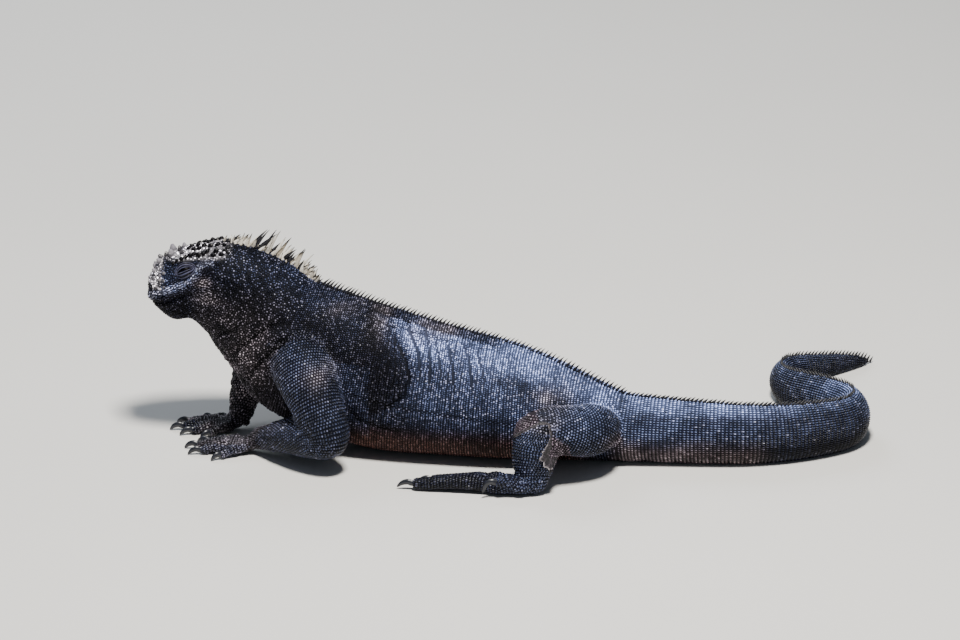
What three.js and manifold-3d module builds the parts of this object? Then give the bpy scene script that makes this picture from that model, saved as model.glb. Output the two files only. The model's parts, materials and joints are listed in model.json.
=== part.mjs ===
// Marine iguana, life size, lying on its belly with its chest propped on bent arms
// and its tail curled in an S behind it.
// Millimetres, +Z up. The head points along -X, the animal's left side faces -Y,
// and the origin is on the floor under the middle of the belly.
import * as THREE from "three";
import { mergeVertices } from "three/addons/utils/BufferGeometryUtils.js";
import Module from "manifold-3d";

const wasm = await Module();
wasm.setup();

// Gap that touching pieces keep.
const GAP = 0.3;
const LEFT = -1;
const RIGHT = 1;
const UP = new THREE.Vector3(0, 0, 1);
const degrees = THREE.MathUtils.degToRad;
const vector = (x, y, z) => new THREE.Vector3(x, y, z);

// The trunk from snout to vent, one row for each cross-section:
// x, y, z of its centre, its reach up, down and sideways, its backward lean in degrees,
// how far the top is pinched in (below 0 it is broad), and how square the underside is (1 is round).
const TRUNK = [
  [-268, -11.2, 116, 1.5, 1.5, 2, 0, 0, 1],
  [-266.8, -11, 116.5, 7, 7, 9.5, 0, -0.05, 0.95],
  [-263.5, -10.5, 119.5, 14, 12.5, 14, 2, -0.1, 0.9],
  [-256.5, -9.8, 119.5, 23.5, 20.5, 17.5, 3, -0.18, 0.88],
  [-246.5, -8.6, 119.5, 28, 26, 20.5, 4, -0.2, 0.86],
  [-235, -7.2, 120, 29.8, 25, 23.5, 5, -0.12, 0.85],
  [-223, -5.4, 118.5, 36, 33.5, 27, 7, -0.05, 0.85],
  [-209, -3.2, 111.5, 42.5, 42.5, 31, 12, 0.05, 0.85],
  [-194.5, -1.4, 102, 46.5, 46.5, 34.5, 18, 0.12, 0.82],
  [-178, 0, 85.5, 54, 52, 39.5, 19, 0.18, 0.8],
  [-157, 0, 71, 55, 53, 42.5, 15, 0.2, 0.75],
  [-126, 0, 60, 55.5, 54, 44.5, 11, 0.2, 0.68],
  [-88, 0, 51, 53.5, 52, 47, 7, 0.2, 0.62],
  [-43, 0, 45, 48, 46, 48, 4, 0.2, 0.6],
  [0, 0, 40, 43, 41, 46.5, 1, 0.2, 0.6],
  [35, 0, 34.5, 36, 35.5, 40.5, 0, 0.22, 0.64],
  [62, -1, 29, 29.5, 30, 32, 0, 0.25, 0.72],
  [82, -2.5, 25.5, 25.5, 26.5, 26, 0, 0.3, 0.8],
];

// The tail's plan: stretches with their length and how far they turn to the right of the animal.
const TAIL_START = { x: 82, y: -2.5, heading: -4 };
const TAIL_RUNS = [
  [76, 9],
  [58, 24],
  [27, 10],
  [50, 94],
  [42, 16],
  [20, -22],
  [52, -90],
  [65, 12],
];
const TAIL_LENGTH = TAIL_RUNS.reduce((sum, [length]) => sum + length, 0);
const TAIL_STEP = 10;
const TAIL_ROOT_HEIGHT = 50.5;
// Where the tail is cut, in millimetres from the vent.
const TAIL_CUTS = [62, 126, 164, 189, 216, 256, 290, 320];

// Height and half-width of the tail at a share of its length.
const tailHeight = (share) => TAIL_ROOT_HEIGHT * Math.sqrt(Math.max(0, 1 - share ** 1.25));
const tailSide = (share) => 0.32 * tailHeight(share) + 9.5 * Math.exp(-share / 0.1);

// One row for each cross-section of the tail, in the form of TRUNK's rows.
function tailRows() {
  const rows = [];
  let { x, y, heading } = TAIL_START;
  let done = 0;
  const last = TAIL_LENGTH - 1;
  for (const [length, turn] of TAIL_RUNS) {
    for (let i = 0; i < length; i++) {
      heading += turn / length;
      x += Math.cos(degrees(heading));
      y += Math.sin(degrees(heading));
      done += 1;
      if (done % TAIL_STEP === 0 || done === last) {
        const share = done / TAIL_LENGTH;
        const half = tailHeight(share) / 2;
        rows.push([x, y, half - 0.6, half, half, tailSide(share), 0, 0.3 + 0.15 * share, 0.88]);
      }
    }
  }
  return rows;
}

// A body form that runs through cross-sections. With no reference direction the sections
// stand upright and lean by their own angle. With one, they are square to the form's run.
class Form {
  constructor(rows, reference = null) {
    const curve = (a, b, c) => {
      const points = rows.map((row) => vector(row[a], row[b], row[c]));
      return new THREE.CatmullRomCurve3(points, false, "catmullrom", 0.5);
    };
    this.places = curve(0, 1, 2);
    this.reaches = curve(3, 4, 5);
    this.shapes = curve(6, 7, 8);
    this.reference = reference;
    this.spans = rows.length - 1;
  }

  section(t) {
    const centre = this.places.getPoint(t);
    const reach = this.reaches.getPoint(t);
    const shape = this.shapes.getPoint(t);
    const step = 1e-3;
    const ahead = this.places.getPoint(Math.min(1, t + step));
    const along = ahead.sub(this.places.getPoint(Math.max(0, t - step)));
    if (!this.reference) along.z = 0;
    along.normalize();
    const side = vector(0, 0, 0).crossVectors(this.reference || UP, along).normalize();
    const up = vector(0, 0, 0).crossVectors(along, side);
    const lean = degrees(shape.x);
    up.multiplyScalar(Math.cos(lean)).addScaledVector(along, Math.sin(lean));
    return { centre, along, side, up, reach, pinch: shape.y, square: shape.z };
  }

  // A point of the surface, at an angle round from the top. grow moves it out,
  // and a share below 1 moves it towards the middle.
  point(t, angle, grow = 0, share = 1) {
    const { centre, side, up, reach, pinch, square } = this.section(t);
    const s = Math.sin(angle);
    const c = Math.cos(angle);
    const out = (value) => Math.max(0, value) + grow;
    const width = out(reach.z) * s * (c > 0 ? 1 - pinch * c * c : 1);
    const height = c > 0 ? out(reach.x) * c : -out(reach.y) * Math.abs(c) ** square;
    return centre.addScaledVector(side, width * share).addScaledVector(up, height * share);
  }

  // The outward direction square to the surface.
  normal(t, angle) {
    const step = 2e-3;
    const along = this.point(Math.min(1, t + step), angle).sub(this.point(Math.max(0, t - step), angle));
    const round = this.point(t, angle + 0.02).sub(this.point(t, angle - 0.02));
    return round.cross(along).negate().normalize();
  }

  // The stretch of the form from one share of its run to another, as a closed solid.
  // grow makes it larger all round and longer at both ends.
  solid(from, to, rings, around, grow = 0) {
    const geometry = new THREE.CylinderGeometry(1, 1, 1, around, rings);
    const at = geometry.getAttribute("position");
    for (let i = 0; i < at.count; i++) {
      const [x, y, z] = [at.getX(i), at.getY(i), at.getZ(i)];
      const share = Math.min(1, Math.hypot(x, z));
      const t = from + (to - from) * (0.5 - y);
      const p = this.point(t, Math.atan2(x, z), grow, share);
      if (Math.abs(y) > 0.499) p.addScaledVector(this.section(t).along, -Math.sign(y) * grow);
      at.setXYZ(i, p.x, p.y, p.z);
    }
    return solidOf(geometry);
  }

  // The share of the run where the form crosses a row of its own list.
  row(index) {
    return index / this.spans;
  }

  // A share a little further on, by a length in millimetres.
  shifted(t, length) {
    const step = 1e-3;
    const [a, b] = [Math.max(0, t - step), Math.min(1, t + step)];
    const speed = this.places.getPoint(b).distanceTo(this.places.getPoint(a)) / (b - a);
    return t + length / speed;
  }

  // The place on one side's surface that lies at an x and a z.
  find(x, z, hand, from, to) {
    let best = null;
    let [t, angle] = [(from + to) / 2, (Math.PI / 2) * hand];
    let [reachT, reachAngle] = [(to - from) / 2, Math.PI / 2];
    for (let pass = 0; pass < 7; pass++) {
      const [t0, angle0] = [t, angle];
      for (let i = -8; i <= 8; i++) {
        for (let j = -8; j <= 8; j++) {
          const tryT = Math.min(1, Math.max(0, t0 + (reachT * i) / 8));
          const tryAngle = angle0 + (reachAngle * j) / 8;
          if (Math.sin(tryAngle) * hand < 0) continue;
          const p = this.point(tryT, tryAngle);
          const miss = Math.hypot(p.x - x, p.z - z);
          if (!best || miss < best) {
            best = miss;
            [t, angle] = [tryT, tryAngle];
          }
        }
      }
      reachT /= 3;
      reachAngle /= 3;
    }
    return { t, angle, place: this.point(t, angle), out: this.normal(t, angle) };
  }
}

// A three.js geometry as a solid that can be joined and cut.
function solidOf(geometry) {
  const at = geometry.getAttribute("position");
  const rounded = new THREE.BufferAttribute(new Float32Array(at.array.length), 3);
  for (let i = 0; i < at.array.length; i++) rounded.array[i] = Math.round(at.array[i] * 1000) / 1000;
  const bare = new THREE.BufferGeometry().setAttribute("position", rounded);
  bare.setIndex(geometry.index);
  const merged = mergeVertices(bare, 1e-3);
  const mesh = new wasm.Mesh({
    numProp: 3,
    vertProperties: merged.attributes.position.array,
    triVerts: new Uint32Array(merged.index.array),
  });
  return new wasm.Manifold(mesh);
}

// A solid as a three.js geometry.
function geometryOf(solid) {
  const mesh = solid.getMesh();
  const at = new Float32Array(mesh.numVert * 3);
  for (let i = 0; i < mesh.numVert; i++) {
    const from = i * mesh.numProp;
    at.set(mesh.vertProperties.subarray(from, from + 3), i * 3);
  }
  const geometry = new THREE.BufferGeometry();
  geometry.setAttribute("position", new THREE.BufferAttribute(at, 3));
  geometry.setIndex(new THREE.BufferAttribute(new Uint32Array(mesh.triVerts), 1));
  return geometry;
}

const union = (solids) => solids.reduce((all, one) => all.add(one));

const largest = (solid) =>
  solid.decompose().reduce((best, one) => (one.volume() > best.volume() ? one : best));

// A geometry sized, turned and set in place, as a solid.
function placed(geometry, at, turn = null, size = [1, 1, 1]) {
  const matrix = new THREE.Matrix4().makeScale(...size);
  if (turn) matrix.premultiply(turn);
  matrix.premultiply(new THREE.Matrix4().makeTranslation(at.x, at.y, at.z));
  return solidOf(geometry.applyMatrix4(matrix));
}

// A turn that lays the z axis along a direction and the x axis as near as it can to another.
function facing(direction, towards) {
  const z = direction.clone().normalize();
  const y = vector(0, 0, 0).crossVectors(z, towards).normalize();
  const x = vector(0, 0, 0).crossVectors(y, z);
  return new THREE.Matrix4().makeBasis(x, y, z);
}

// Repeatable scatter between 0 and 1.
function scatter(seed) {
  let state = seed;
  return () => {
    state = (state * 1664525 + 1013904223) % 4294967296;
    return state / 4294967296;
  };
}

// Everything below the floor, which trims soles and belly to one level.
const belowFloor = placed(new THREE.BoxGeometry(900, 900, 100), vector(0, 60, -50));

const model = new THREE.Group();
model.name = "marine_iguana";

const FINISHES = {
  skin: { color: 0x24262c, roughness: 0.62 },
  claw: { color: 0x15161a, roughness: 0.35 },
  eye: { color: 0x1c130c, roughness: 0.12 },
};

// Adds a node, trimmed at the floor and kept as one closed body.
function node(name, solid, finish = "skin") {
  const body = largest(solid.subtract(belowFloor));
  const material = new THREE.MeshStandardMaterial({ ...FINISHES[finish], metalness: 0 });
  const mesh = new THREE.Mesh(geometryOf(body), material);
  mesh.name = name;
  model.add(mesh);
}

const trunk = new Form([...TRUNK, ...tailRows()]);
const TRUNK_AROUND = 22;
const TAIL_AROUND = 16;
const LIMB_AROUND = 12;
const LIMB_RINGS = 7;
const DIGIT_AROUND = 6;
const VENT_ROW = TRUNK.length - 1;

// The share of the trunk's run that lies a length in millimetres behind the vent.
const tailShare = (length) => trunk.row(VENT_ROW + length / TAIL_STEP);

const HEAD_BACK = trunk.row(7.15);
const NECK_BACK = trunk.row(9);
const CHEST_BACK = trunk.row(12);
const BELLY_BACK = trunk.row(14.6);
const HIPS_BACK = trunk.row(VENT_ROW);
const TAIL_SHARES = [...[0, ...TAIL_CUTS].map(tailShare), 1];

// The trunk's stretches: from, to and rings. The first five have names of their own.
const STRETCHES = [
  [0, HEAD_BACK, 14],
  [HEAD_BACK, NECK_BACK, 6],
  [NECK_BACK, CHEST_BACK, 8],
  [CHEST_BACK, BELLY_BACK, 7],
  [BELLY_BACK, HIPS_BACK, 7],
];
for (let i = 0; i + 1 < TAIL_SHARES.length; i++) {
  const [from, to] = [TAIL_SHARES[i], TAIL_SHARES[i + 1]];
  STRETCHES.push([from, to, Math.max(4, Math.round((to - from) * trunk.spans))]);
}

const around = (from) => (from < HIPS_BACK ? TRUNK_AROUND : TAIL_AROUND);

// A stretch of the trunk, half the gap short at each end that meets another.
function stretch([from, to, rings]) {
  const start = from > 0 ? trunk.shifted(from, GAP / 2) : 0;
  const end = to < 1 ? trunk.shifted(to, -GAP / 2) : 1;
  return trunk.solid(start, end, rings, around(from));
}

// The whole trunk as far as the tail's root, a gap larger all round, for cutting limbs to it.
const trunkClearance = union(
  STRETCHES.slice(0, 6).map(([from, to, rings]) => trunk.solid(from, to, rings, around(from), GAP)),
);

// Crest: flattened, backswept spines along the top of a stretch of the trunk.
const CREST_SINK = 2.2;
const CREST_LEAN = 28;

function spine(t, height, length, thickness) {
  const { along, side } = trunk.section(t);
  const root = trunk.point(t, 0);
  const lean = degrees(CREST_LEAN);
  const rise = UP.clone().multiplyScalar(Math.cos(lean)).addScaledVector(along, Math.sin(lean));
  const cone = new THREE.ConeGeometry(1, 1, 4, 1).translate(0, 0.5, 0);
  const axes = new THREE.Matrix4().makeBasis(along, rise, side.clone().negate());
  const size = [length / 2, height + CREST_SINK, thickness / 2];
  return placed(cone, root.addScaledVector(rise, -CREST_SINK), axes, size);
}

// Spines at an even spacing between two shares of the run, each as high as heightAt says.
function crest(from, to, spacing, thickness, heightAt) {
  const spines = [];
  let t = trunk.shifted(from, spacing / 2 + CREST_SINK / 2 + GAP);
  while (trunk.shifted(t, spacing / 2) < to) {
    spines.push(spine(t, heightAt(t), spacing * 0.95, thickness));
    t = trunk.shifted(t, spacing);
  }
  return spines;
}

// Heights of the neck's crest, at rows of the trunk.
const NECK_CREST = [
  [6.9, 7],
  [7.3, 14],
  [8, 19],
  [8.8, 16],
  [9.6, 11],
  [10.2, 7],
];

// The height between the two entries of a table that a row lies between.
function tableHeight(table, t) {
  const row = t * trunk.spans;
  for (let i = 0; i + 1 < table.length; i++) {
    const [[a, high], [b, low]] = [table[i], table[i + 1]];
    if (row <= b) return high + ((low - high) * Math.max(0, row - a)) / (b - a);
  }
  return table[table.length - 1][1];
}
const neckCrest = (t) => tableHeight(NECK_CREST, t);
const NECK_SPACING = 3;
const BACK_SPACING = 3.4;
const TAIL_SPACING = 3.8;

// Features of the head, as the x and z that they have in side view.
const EYE = { x: -238.5, z: 138.5 };
const EYE_RADIUS = 6;
const EYE_DEPTH = 3.2;
const LID_THICKNESS = 1;
const EAR = { x: -210.6, z: 131.4 };
const NOSTRIL = { x: -264.2, z: 122.5 };
// The mouth line from the front of the snout to the corner of the mouth.
const MOUTH = [
  [-285, 109],
  [-268.5, 110],
  [-262, 110.5],
  [-253, 112.5],
  [-244, 116.5],
  [-237, 120],
  [-231.5, 121.5],
];
// The back of the lower jaw, from the corner of the mouth down.
const JAW_BACK = [
  [-228.5, 114],
  [-226, 103],
  [-225, 92],
  [-225.5, 70],
  [-285, 70],
];

const findOnHead = (spot, hand) => trunk.find(spot.x, spot.z, hand, 0, trunk.row(9));

// The eye's centre and the direction it looks, for one side.
function eyeSpot(hand) {
  const { place, out } = findOnHead(EYE, hand);
  return { centre: place.addScaledVector(out, -EYE_DEPTH), out };
}

const ball = (radius, wide, high) => new THREE.SphereGeometry(radius, wide, high);

// The bulging lids of one eye, with two folds round them, before the eye is let in.
function lids(hand) {
  const { centre, out } = eyeSpot(hand);
  const shell = placed(ball(EYE_RADIUS + GAP + LID_THICKNESS, 10, 7), centre, facing(out, UP));
  const folds = [8.2, 11].map((radius) => {
    const ring = new THREE.TorusGeometry(radius, 1.1, 3, 12);
    const foot = centre.clone().addScaledVector(out, EYE_DEPTH - 0.4 - (radius - 8) * 0.35);
    return placed(ring, foot, facing(out, vector(0.35, 0, 1)), [0.8, 1.1, 1]);
  });
  return [shell, ...folds];
}

// What is cut away for one eye: its socket and the slit between the lids.
function eyeCut(hand) {
  const { centre, out } = eyeSpot(hand);
  const socket = placed(ball(EYE_RADIUS + GAP, 10, 7), centre, facing(out, UP));
  const turn = facing(out, vector(0.42, 0, 1));
  const slit = placed(ball(1, 10, 6), centre.clone().addScaledVector(out, 6.4), turn, [1.5, 4.6, 3]);
  return [socket, slit];
}

// A rounded roll along the mouth line on one side, which stands out as the lips.
function lip(hand) {
  const rows = MOUTH.slice(2).map(([x, z], i, list) => {
    const { place, out } = findOnHead({ x, z }, hand);
    place.addScaledVector(out, -1.5);
    const radius = i === list.length - 1 ? 1.2 : 3;
    return [place.x, place.y, place.z, radius, radius, radius, 0, 0, 1];
  });
  return new Form(rows, UP).solid(0, 1, 8, 8);
}

// A shallow cup in the skin of one side.
function cup(spot, hand, size, depth) {
  const { place, out } = findOnHead(spot, hand);
  return placed(ball(1, 12, 8), place.addScaledVector(out, depth), facing(out, UP), size);
}

// Cone-shaped tubercles on the crown, from the snout to the nape, and along the brows.
const TUBERCLE_ROWS = 11;
const TUBERCLE_PITCH = 6.4;

function tubercles() {
  const random = scatter(29);
  const cones = [];
  for (let i = 0; i < TUBERCLE_ROWS; i++) {
    const t = trunk.row(1.6 + i * 0.5);
    const reach = trunk.section(t).reach.z;
    const half = Math.floor((0.95 * reach) / TUBERCLE_PITCH);
    for (let j = -half; j <= half; j++) {
      const shift = i % 2 ? 0.25 : -0.25;
      const angle = ((j + shift) * TUBERCLE_PITCH) / reach;
      const at = t + (random() - 0.5) * trunk.row(0.16);
      const swell = Math.sin((Math.PI * (i + 1)) / (TUBERCLE_ROWS + 2));
      const height = (1.8 + 2.1 * swell) * (0.75 + 0.5 * random());
      if (Math.abs(angle) > 1.05) continue;
      const place = trunk.point(at, angle);
      const out = trunk.normal(at, angle);
      const near = [LEFT, RIGHT].some((hand) => place.distanceTo(eyeSpot(hand).centre) < 12.5);
      if (near) continue;
      const cone = new THREE.ConeGeometry(1, 1, 4, 1).rotateX(Math.PI / 2).translate(0, 0, 0.5);
      const turn = facing(out, vector(0.3, 0.2, 1));
      const size = [2.5, 2.5, height + 1.4];
      cones.push(placed(cone, place.addScaledVector(out, -1.4), turn, size));
    }
  }
  return cones;
}

// A solid with the outline of a side view, from one side of the head to the other.
function profile(points) {
  const shape = new THREE.Shape(points.map(([x, z]) => new THREE.Vector2(x, z)));
  const prism = new THREE.ExtrudeGeometry(shape, { depth: 200, bevelEnabled: false });
  prism.deleteAttribute("uv");
  prism.deleteAttribute("normal");
  const whole = mergeVertices(prism.rotateX(Math.PI / 2).translate(0, 100, 0), 1e-4);
  return solidOf(whole);
}

function head() {
  const solids = [stretch(STRETCHES[0]), ...tubercles()];
  for (const hand of [LEFT, RIGHT]) solids.push(lip(hand), ...lids(hand));
  solids.push(...crest(trunk.row(6.85), HEAD_BACK, NECK_SPACING, 1.6, neckCrest));
  const cuts = [];
  for (const hand of [LEFT, RIGHT]) {
    cuts.push(...eyeCut(hand));
    cuts.push(cup(NOSTRIL, hand, [1.5, 1.2, 1.6], 0.2));
    cuts.push(cup(EAR, hand, [4.2, 2.6, 2.4], 0.3));
  }
  const whole = union(solids).subtract(union(cuts));
  const outline = [...MOUTH, ...JAW_BACK];
  const jaw = outline.map(([x, z]) => [x - GAP, z - GAP]);
  node("head", whole.subtract(profile(outline)));
  node("lower_jaw", whole.intersect(profile(jaw)));
  for (const [side, hand] of [["left", LEFT], ["right", RIGHT]]) {
    const { centre, out } = eyeSpot(hand);
    node(`eye_${side}`, placed(ball(EYE_RADIUS, 10, 7), centre, facing(out, UP)), "eye");
  }
}
head();

// Neck, chest, belly and hips, each with its length of the crest.
function torso(name, index, spacing, thickness, heightAt) {
  const [from, to] = STRETCHES[index];
  node(name, union([stretch(STRETCHES[index]), ...crest(from, to, spacing, thickness, heightAt)]));
}
torso("neck", 1, NECK_SPACING, 1.6, neckCrest);
torso("chest", 2, BACK_SPACING, 1.5, (t) => Math.max(5.5, neckCrest(t)));
torso("belly", 3, BACK_SPACING, 1.5, () => 5.5);
torso("hips", 4, BACK_SPACING, 1.5, () => 5);
for (let i = 5; i < STRETCHES.length; i++) {
  const [from, to] = STRETCHES[i];
  const spines = crest(from, Math.min(to, 0.985), TAIL_SPACING, 1.4, (t) => 4.2 - 1.2 * t);
  node(`tail_${i - 4}`, union([stretch(STRETCHES[i]), ...spines]));
}

// A limb's length as rows of x, y, z and radius, round in section.
const limb = (rows) => new Form(rows.map(([x, y, z, r, flat = 1]) => [x, y, z, r * flat, r * flat, r, 0, 0, 1]), vector(0.2, 0, 1));

// Arms and legs: the rows of each length. The hand or foot follows on the last row.
const LIMBS = {
  left_arm: {
    upper: [
      [-158, -18, 84, 16],
      [-152, -31, 76, 22],
      [-145, -44, 64, 22],
      [-136, -56, 50, 19.5],
      [-129, -63, 36, 17.5],
      [-126.5, -65, 26, 15.5],
      [-127, -65, 17, 10],
    ],
    lower: [
      [-120, -67, 31, 12],
      [-128, -64, 28, 16],
      [-141, -57, 26, 16.5],
      [-155, -49, 22.5, 14.5],
      [-169, -40, 17, 11.3],
      [-180, -33, 12.5, 9],
      [-185, -30.5, 10.5, 8],
    ],
    end: { place: [-183, -32, 10], heading: 179, palm: 22, width: 10.5, thick: 6.4 },
    digits: "hand",
  },
  right_arm: {
    upper: [
      [-144, 14, 78, 16],
      [-156, 28, 73, 22],
      [-168, 39, 66, 20.5],
      [-179, 45.5, 60.5, 18.5],
      [-188, 49.5, 56, 16.5],
      [-195, 52, 52.5, 13],
      [-199.5, 53.5, 50, 8],
    ],
    lower: [
      [-189, 50, 62, 11],
      [-193, 45.5, 54, 15],
      [-198, 38, 43, 15],
      [-201, 28, 31, 13.2],
      [-203, 18, 20, 11],
      [-204, 11, 12.5, 9.2],
      [-205, 8.5, 9.5, 8],
    ],
    end: { place: [-203, 9, 9.5], heading: 189, palm: 19, width: 10.5, thick: 6.4 },
    digits: "hand",
  },
  left_leg: {
    upper: [
      [70, -16, 30, 14],
      [66, -30, 33, 18],
      [60, -43, 36.5, 19.8],
      [50, -53, 40, 18.8],
      [40, -60, 43.5, 17.5],
      [31, -65, 46, 15.5],
      [25, -67, 47, 9],
    ],
    lower: [
      [30, -62, 57, 10],
      [30, -64, 49, 17],
      [28, -67, 38, 18.5],
      [26, -71, 26.5, 17],
      [25.5, -75, 16, 14.5],
      [26, -78, 9.5, 11.5],
      [26.5, -79, 5, 9],
    ],
    end: { place: [30, -79, 9], heading: 180, palm: 36, width: 12.5, thick: 8.5 },
    digits: "foot",
  },
  right_leg: {
    upper: [
      [72, 12, 22, 14],
      [69, 26, 20.5, 17],
      [63, 40, 19.5, 17.8],
      [53, 53, 19, 17],
      [42, 62, 18.5, 15.5],
      [34, 67, 18, 13.5],
      [28, 70, 17.5, 8],
    ],
    lower: [
      [32, 61, 18, 9],
      [33, 67, 18, 13.5],
      [38, 75, 17, 14],
      [46, 83, 14.5, 12],
      [53, 89, 11.5, 9.5],
      [57, 92, 9, 8],
      [59, 93.5, 8, 7],
    ],
    end: { place: [58, 92, 8], heading: 172, palm: 36, width: 12, thick: 6.4 },
    digits: "foot",
  },
};

// Digits from the inner side outward: length, angle outward from the hand's or foot's heading,
// where its root lies back from the palm's front and how thick it is.
const DIGITS = {
  hand: [
    { length: 13, angle: -26, back: 7, radius: 3.8, claw: 8 },
    { length: 20, angle: -12, back: 1.5, radius: 4.1, claw: 9 },
    { length: 25, angle: 1, back: 0, radius: 4.2, claw: 9 },
    { length: 23, angle: 15, back: 1.5, radius: 4.1, claw: 9 },
    { length: 15, angle: 36, back: 8, radius: 3.8, claw: 8 },
  ],
  foot: [
    { length: 15, angle: -20, back: 9, radius: 4.5, claw: 8 },
    { length: 29, angle: -10, back: 2, radius: 4.9, claw: 9 },
    { length: 44, angle: -4, back: 0, radius: 5.3, claw: 9.5 },
    { length: 58, angle: 1, back: 2, radius: 5.5, claw: 11 },
    { length: 15, angle: 14, back: 21, radius: 4.6, claw: 9.5, lift: 8 },
  ],
};

// One digit's run as rows, with the claw's run following on the same line.
function digitRows(root, heading, digit, floorClear) {
  const { length, radius, claw, lift = 0 } = digit;
  const [cos, sin] = [Math.cos(degrees(heading)), Math.sin(degrees(heading))];
  const rest = radius - floorClear + lift;
  const run = [
    [-6, root.z, radius, 0],
    [-4, root.z, radius, 0],
    [length * 0.3, rest + 2.6, radius, 0],
    [length * 0.62, rest + 1.4, radius * 0.94, 0],
    [length * 0.85, rest, radius * 0.92, 2],
    [length, rest - 0.2, radius * 0.76, 2.1],
    [length + claw * 0.3, rest + 0.6, 2.2, 2],
    [length + claw * 0.65, rest - 0.4, 1.6, 1.6],
    [length + claw * 0.9, Math.max(1.1, rest - 2.4 - lift * 0.3), 1, 0.95],
    [length + claw, Math.max(0.7, rest - 3.6 - lift * 0.5), 0.4, 0.4],
  ];
  return run.map(([s, z, skin, horn]) => ({ x: root.x + cos * s, y: root.y + sin * s, z, skin, horn }));
}

const CLAW_FROM = 5;

function buildLimb(name, { upper, lower, end, digits }) {
  const [side, kind] = name.split("_");
  const hand = side === "left" ? LEFT : RIGHT;
  const names = kind === "arm" ? ["upper_arm", "forearm", "hand"] : ["thigh", "shank", "foot"];
  const upperForm = limb(upper);
  const lowerForm = limb(lower);
  const length = (form, grow = 0) => form.solid(0, 1, LIMB_RINGS, LIMB_AROUND, grow);
  node(`${side}_${names[0]}`, length(upperForm).subtract(trunkClearance));
  const forearm = length(lowerForm).subtract(length(upperForm, GAP));
  node(`${side}_${names[1]}`, forearm.subtract(trunkClearance));

  const [cos, sin] = [Math.cos(degrees(end.heading)), Math.sin(degrees(end.heading))];
  const [x, y, z] = end.place;
  const at = (s, rise) => [x + cos * s, y + sin * s, rise];
  const palm = [
    [...at(-5, z), 5.5, 5.5, 6, 0, 0, 1],
    [...at(3, z - 0.5), end.thick, end.thick, end.width * 0.8, 0, 0, 1],
    [...at(end.palm * 0.55, 6), 5.4, 6, end.width, 0, 0, 1],
    [...at(end.palm * 0.9, 4.9), 4.4, 5, end.width, 0, 0, 1],
    [...at(end.palm + 2, 4.4), 3, 3.6, end.width * 0.8, 0, 0, 1],
  ];
  const solids = [new Form(palm, UP).solid(0, 1, 5, 10)];
  DIGITS[digits].forEach((digit, i) => {
    const outward = hand * (i - 2) * (end.width / 2.6);
    const heading = end.heading - hand * digit.angle;
    const s = end.palm - digit.back;
    const root = vector(x + cos * s + sin * outward, y + sin * s - cos * outward, 5.2);
    const rows = digitRows(root, heading, digit, 0.25);
    const skin = new Form(rows.map((p) => [p.x, p.y, p.z, p.skin, p.skin, p.skin * 1.02, 0, 0.1, 0.9]), UP);
    const horn = new Form(rows.map((p) => [p.x, p.y, p.z, p.horn * 1.25, p.horn, p.horn * 0.8, 0, 0.25, 1]), UP);
    const cut = skin.row(CLAW_FROM);
    const flesh = (grow) => skin.solid(skin.row(1), cut, 4, DIGIT_AROUND, grow);
    solids.push(flesh(0));
    const claw = horn.solid(horn.row(CLAW_FROM - 0.2), 1, 3, 4).subtract(flesh(GAP));
    node(`${side}_${names[2]}_claw_${i + 1}`, claw, "claw");
  });
  const whole = union(solids).subtract(length(lowerForm, GAP)).subtract(length(upperForm, GAP));
  node(`${side}_${names[2]}`, whole);
}
for (const [name, plan] of Object.entries(LIMBS)) buildLimb(name, plan);

export default model;
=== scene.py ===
# %% [markdown]
# # A marine iguana, life size
# The animal lies on its belly, chest propped on its bent arms, tail curled in an S behind it.
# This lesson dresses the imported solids: one skin over trunk, tail and limbs, thousands of small
# raised scales, crest spines, lids, eyes, claws and shed skin, then the light and the camera.
# Lengths in the tables are millimetres. The head points along -X and its left side faces -Y.

import json
import math

import bpy
import numpy as np
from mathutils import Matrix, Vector
from mathutils.bvhtree import BVHTree

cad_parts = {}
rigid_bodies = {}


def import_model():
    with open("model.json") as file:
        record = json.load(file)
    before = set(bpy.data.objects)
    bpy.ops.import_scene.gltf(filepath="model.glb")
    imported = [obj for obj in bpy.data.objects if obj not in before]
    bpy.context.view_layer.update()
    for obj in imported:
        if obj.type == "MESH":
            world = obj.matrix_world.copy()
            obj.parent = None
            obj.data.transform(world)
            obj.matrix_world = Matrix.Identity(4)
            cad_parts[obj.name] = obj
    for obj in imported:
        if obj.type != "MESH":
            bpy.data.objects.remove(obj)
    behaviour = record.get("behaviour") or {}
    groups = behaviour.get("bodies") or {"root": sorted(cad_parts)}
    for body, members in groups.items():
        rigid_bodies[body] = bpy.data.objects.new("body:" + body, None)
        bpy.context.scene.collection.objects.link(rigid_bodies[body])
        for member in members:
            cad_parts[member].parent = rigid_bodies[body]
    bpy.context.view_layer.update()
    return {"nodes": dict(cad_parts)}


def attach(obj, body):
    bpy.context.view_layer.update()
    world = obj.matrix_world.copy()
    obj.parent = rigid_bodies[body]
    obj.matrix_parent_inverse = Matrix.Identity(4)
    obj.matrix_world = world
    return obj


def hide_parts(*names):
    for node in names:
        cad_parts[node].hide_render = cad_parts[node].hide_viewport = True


MM = 0.001
SIDES = {"left": -1, "right": 1}
UP = [0, 0, 1]
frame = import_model()
print("solids:", len(frame["nodes"]))

# %% [markdown]
# ## The body as lofted forms
# A reptile's trunk is a run of cross-sections that swell and narrow: round at the tail, broad and
# flat below at the belly, pinched to a ridge on top. One could push a cylinder about by hand, but a
# table of sections keeps the skin, the scales and the solids on the same shape. Each row holds
# the centre, the reach up, down and sideways, a backward lean, how far the top is pinched
# in and how square the underside is. A smooth curve runs through every column.

# %% A form through cross-sections
RUN_STEP = 1e-3
TURN_STEP = 0.02
LEAST_REACH = 0.12


def unit(vectors):
    return vectors / np.maximum(np.linalg.norm(vectors, axis=-1, keepdims=True), 1e-12)


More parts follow.
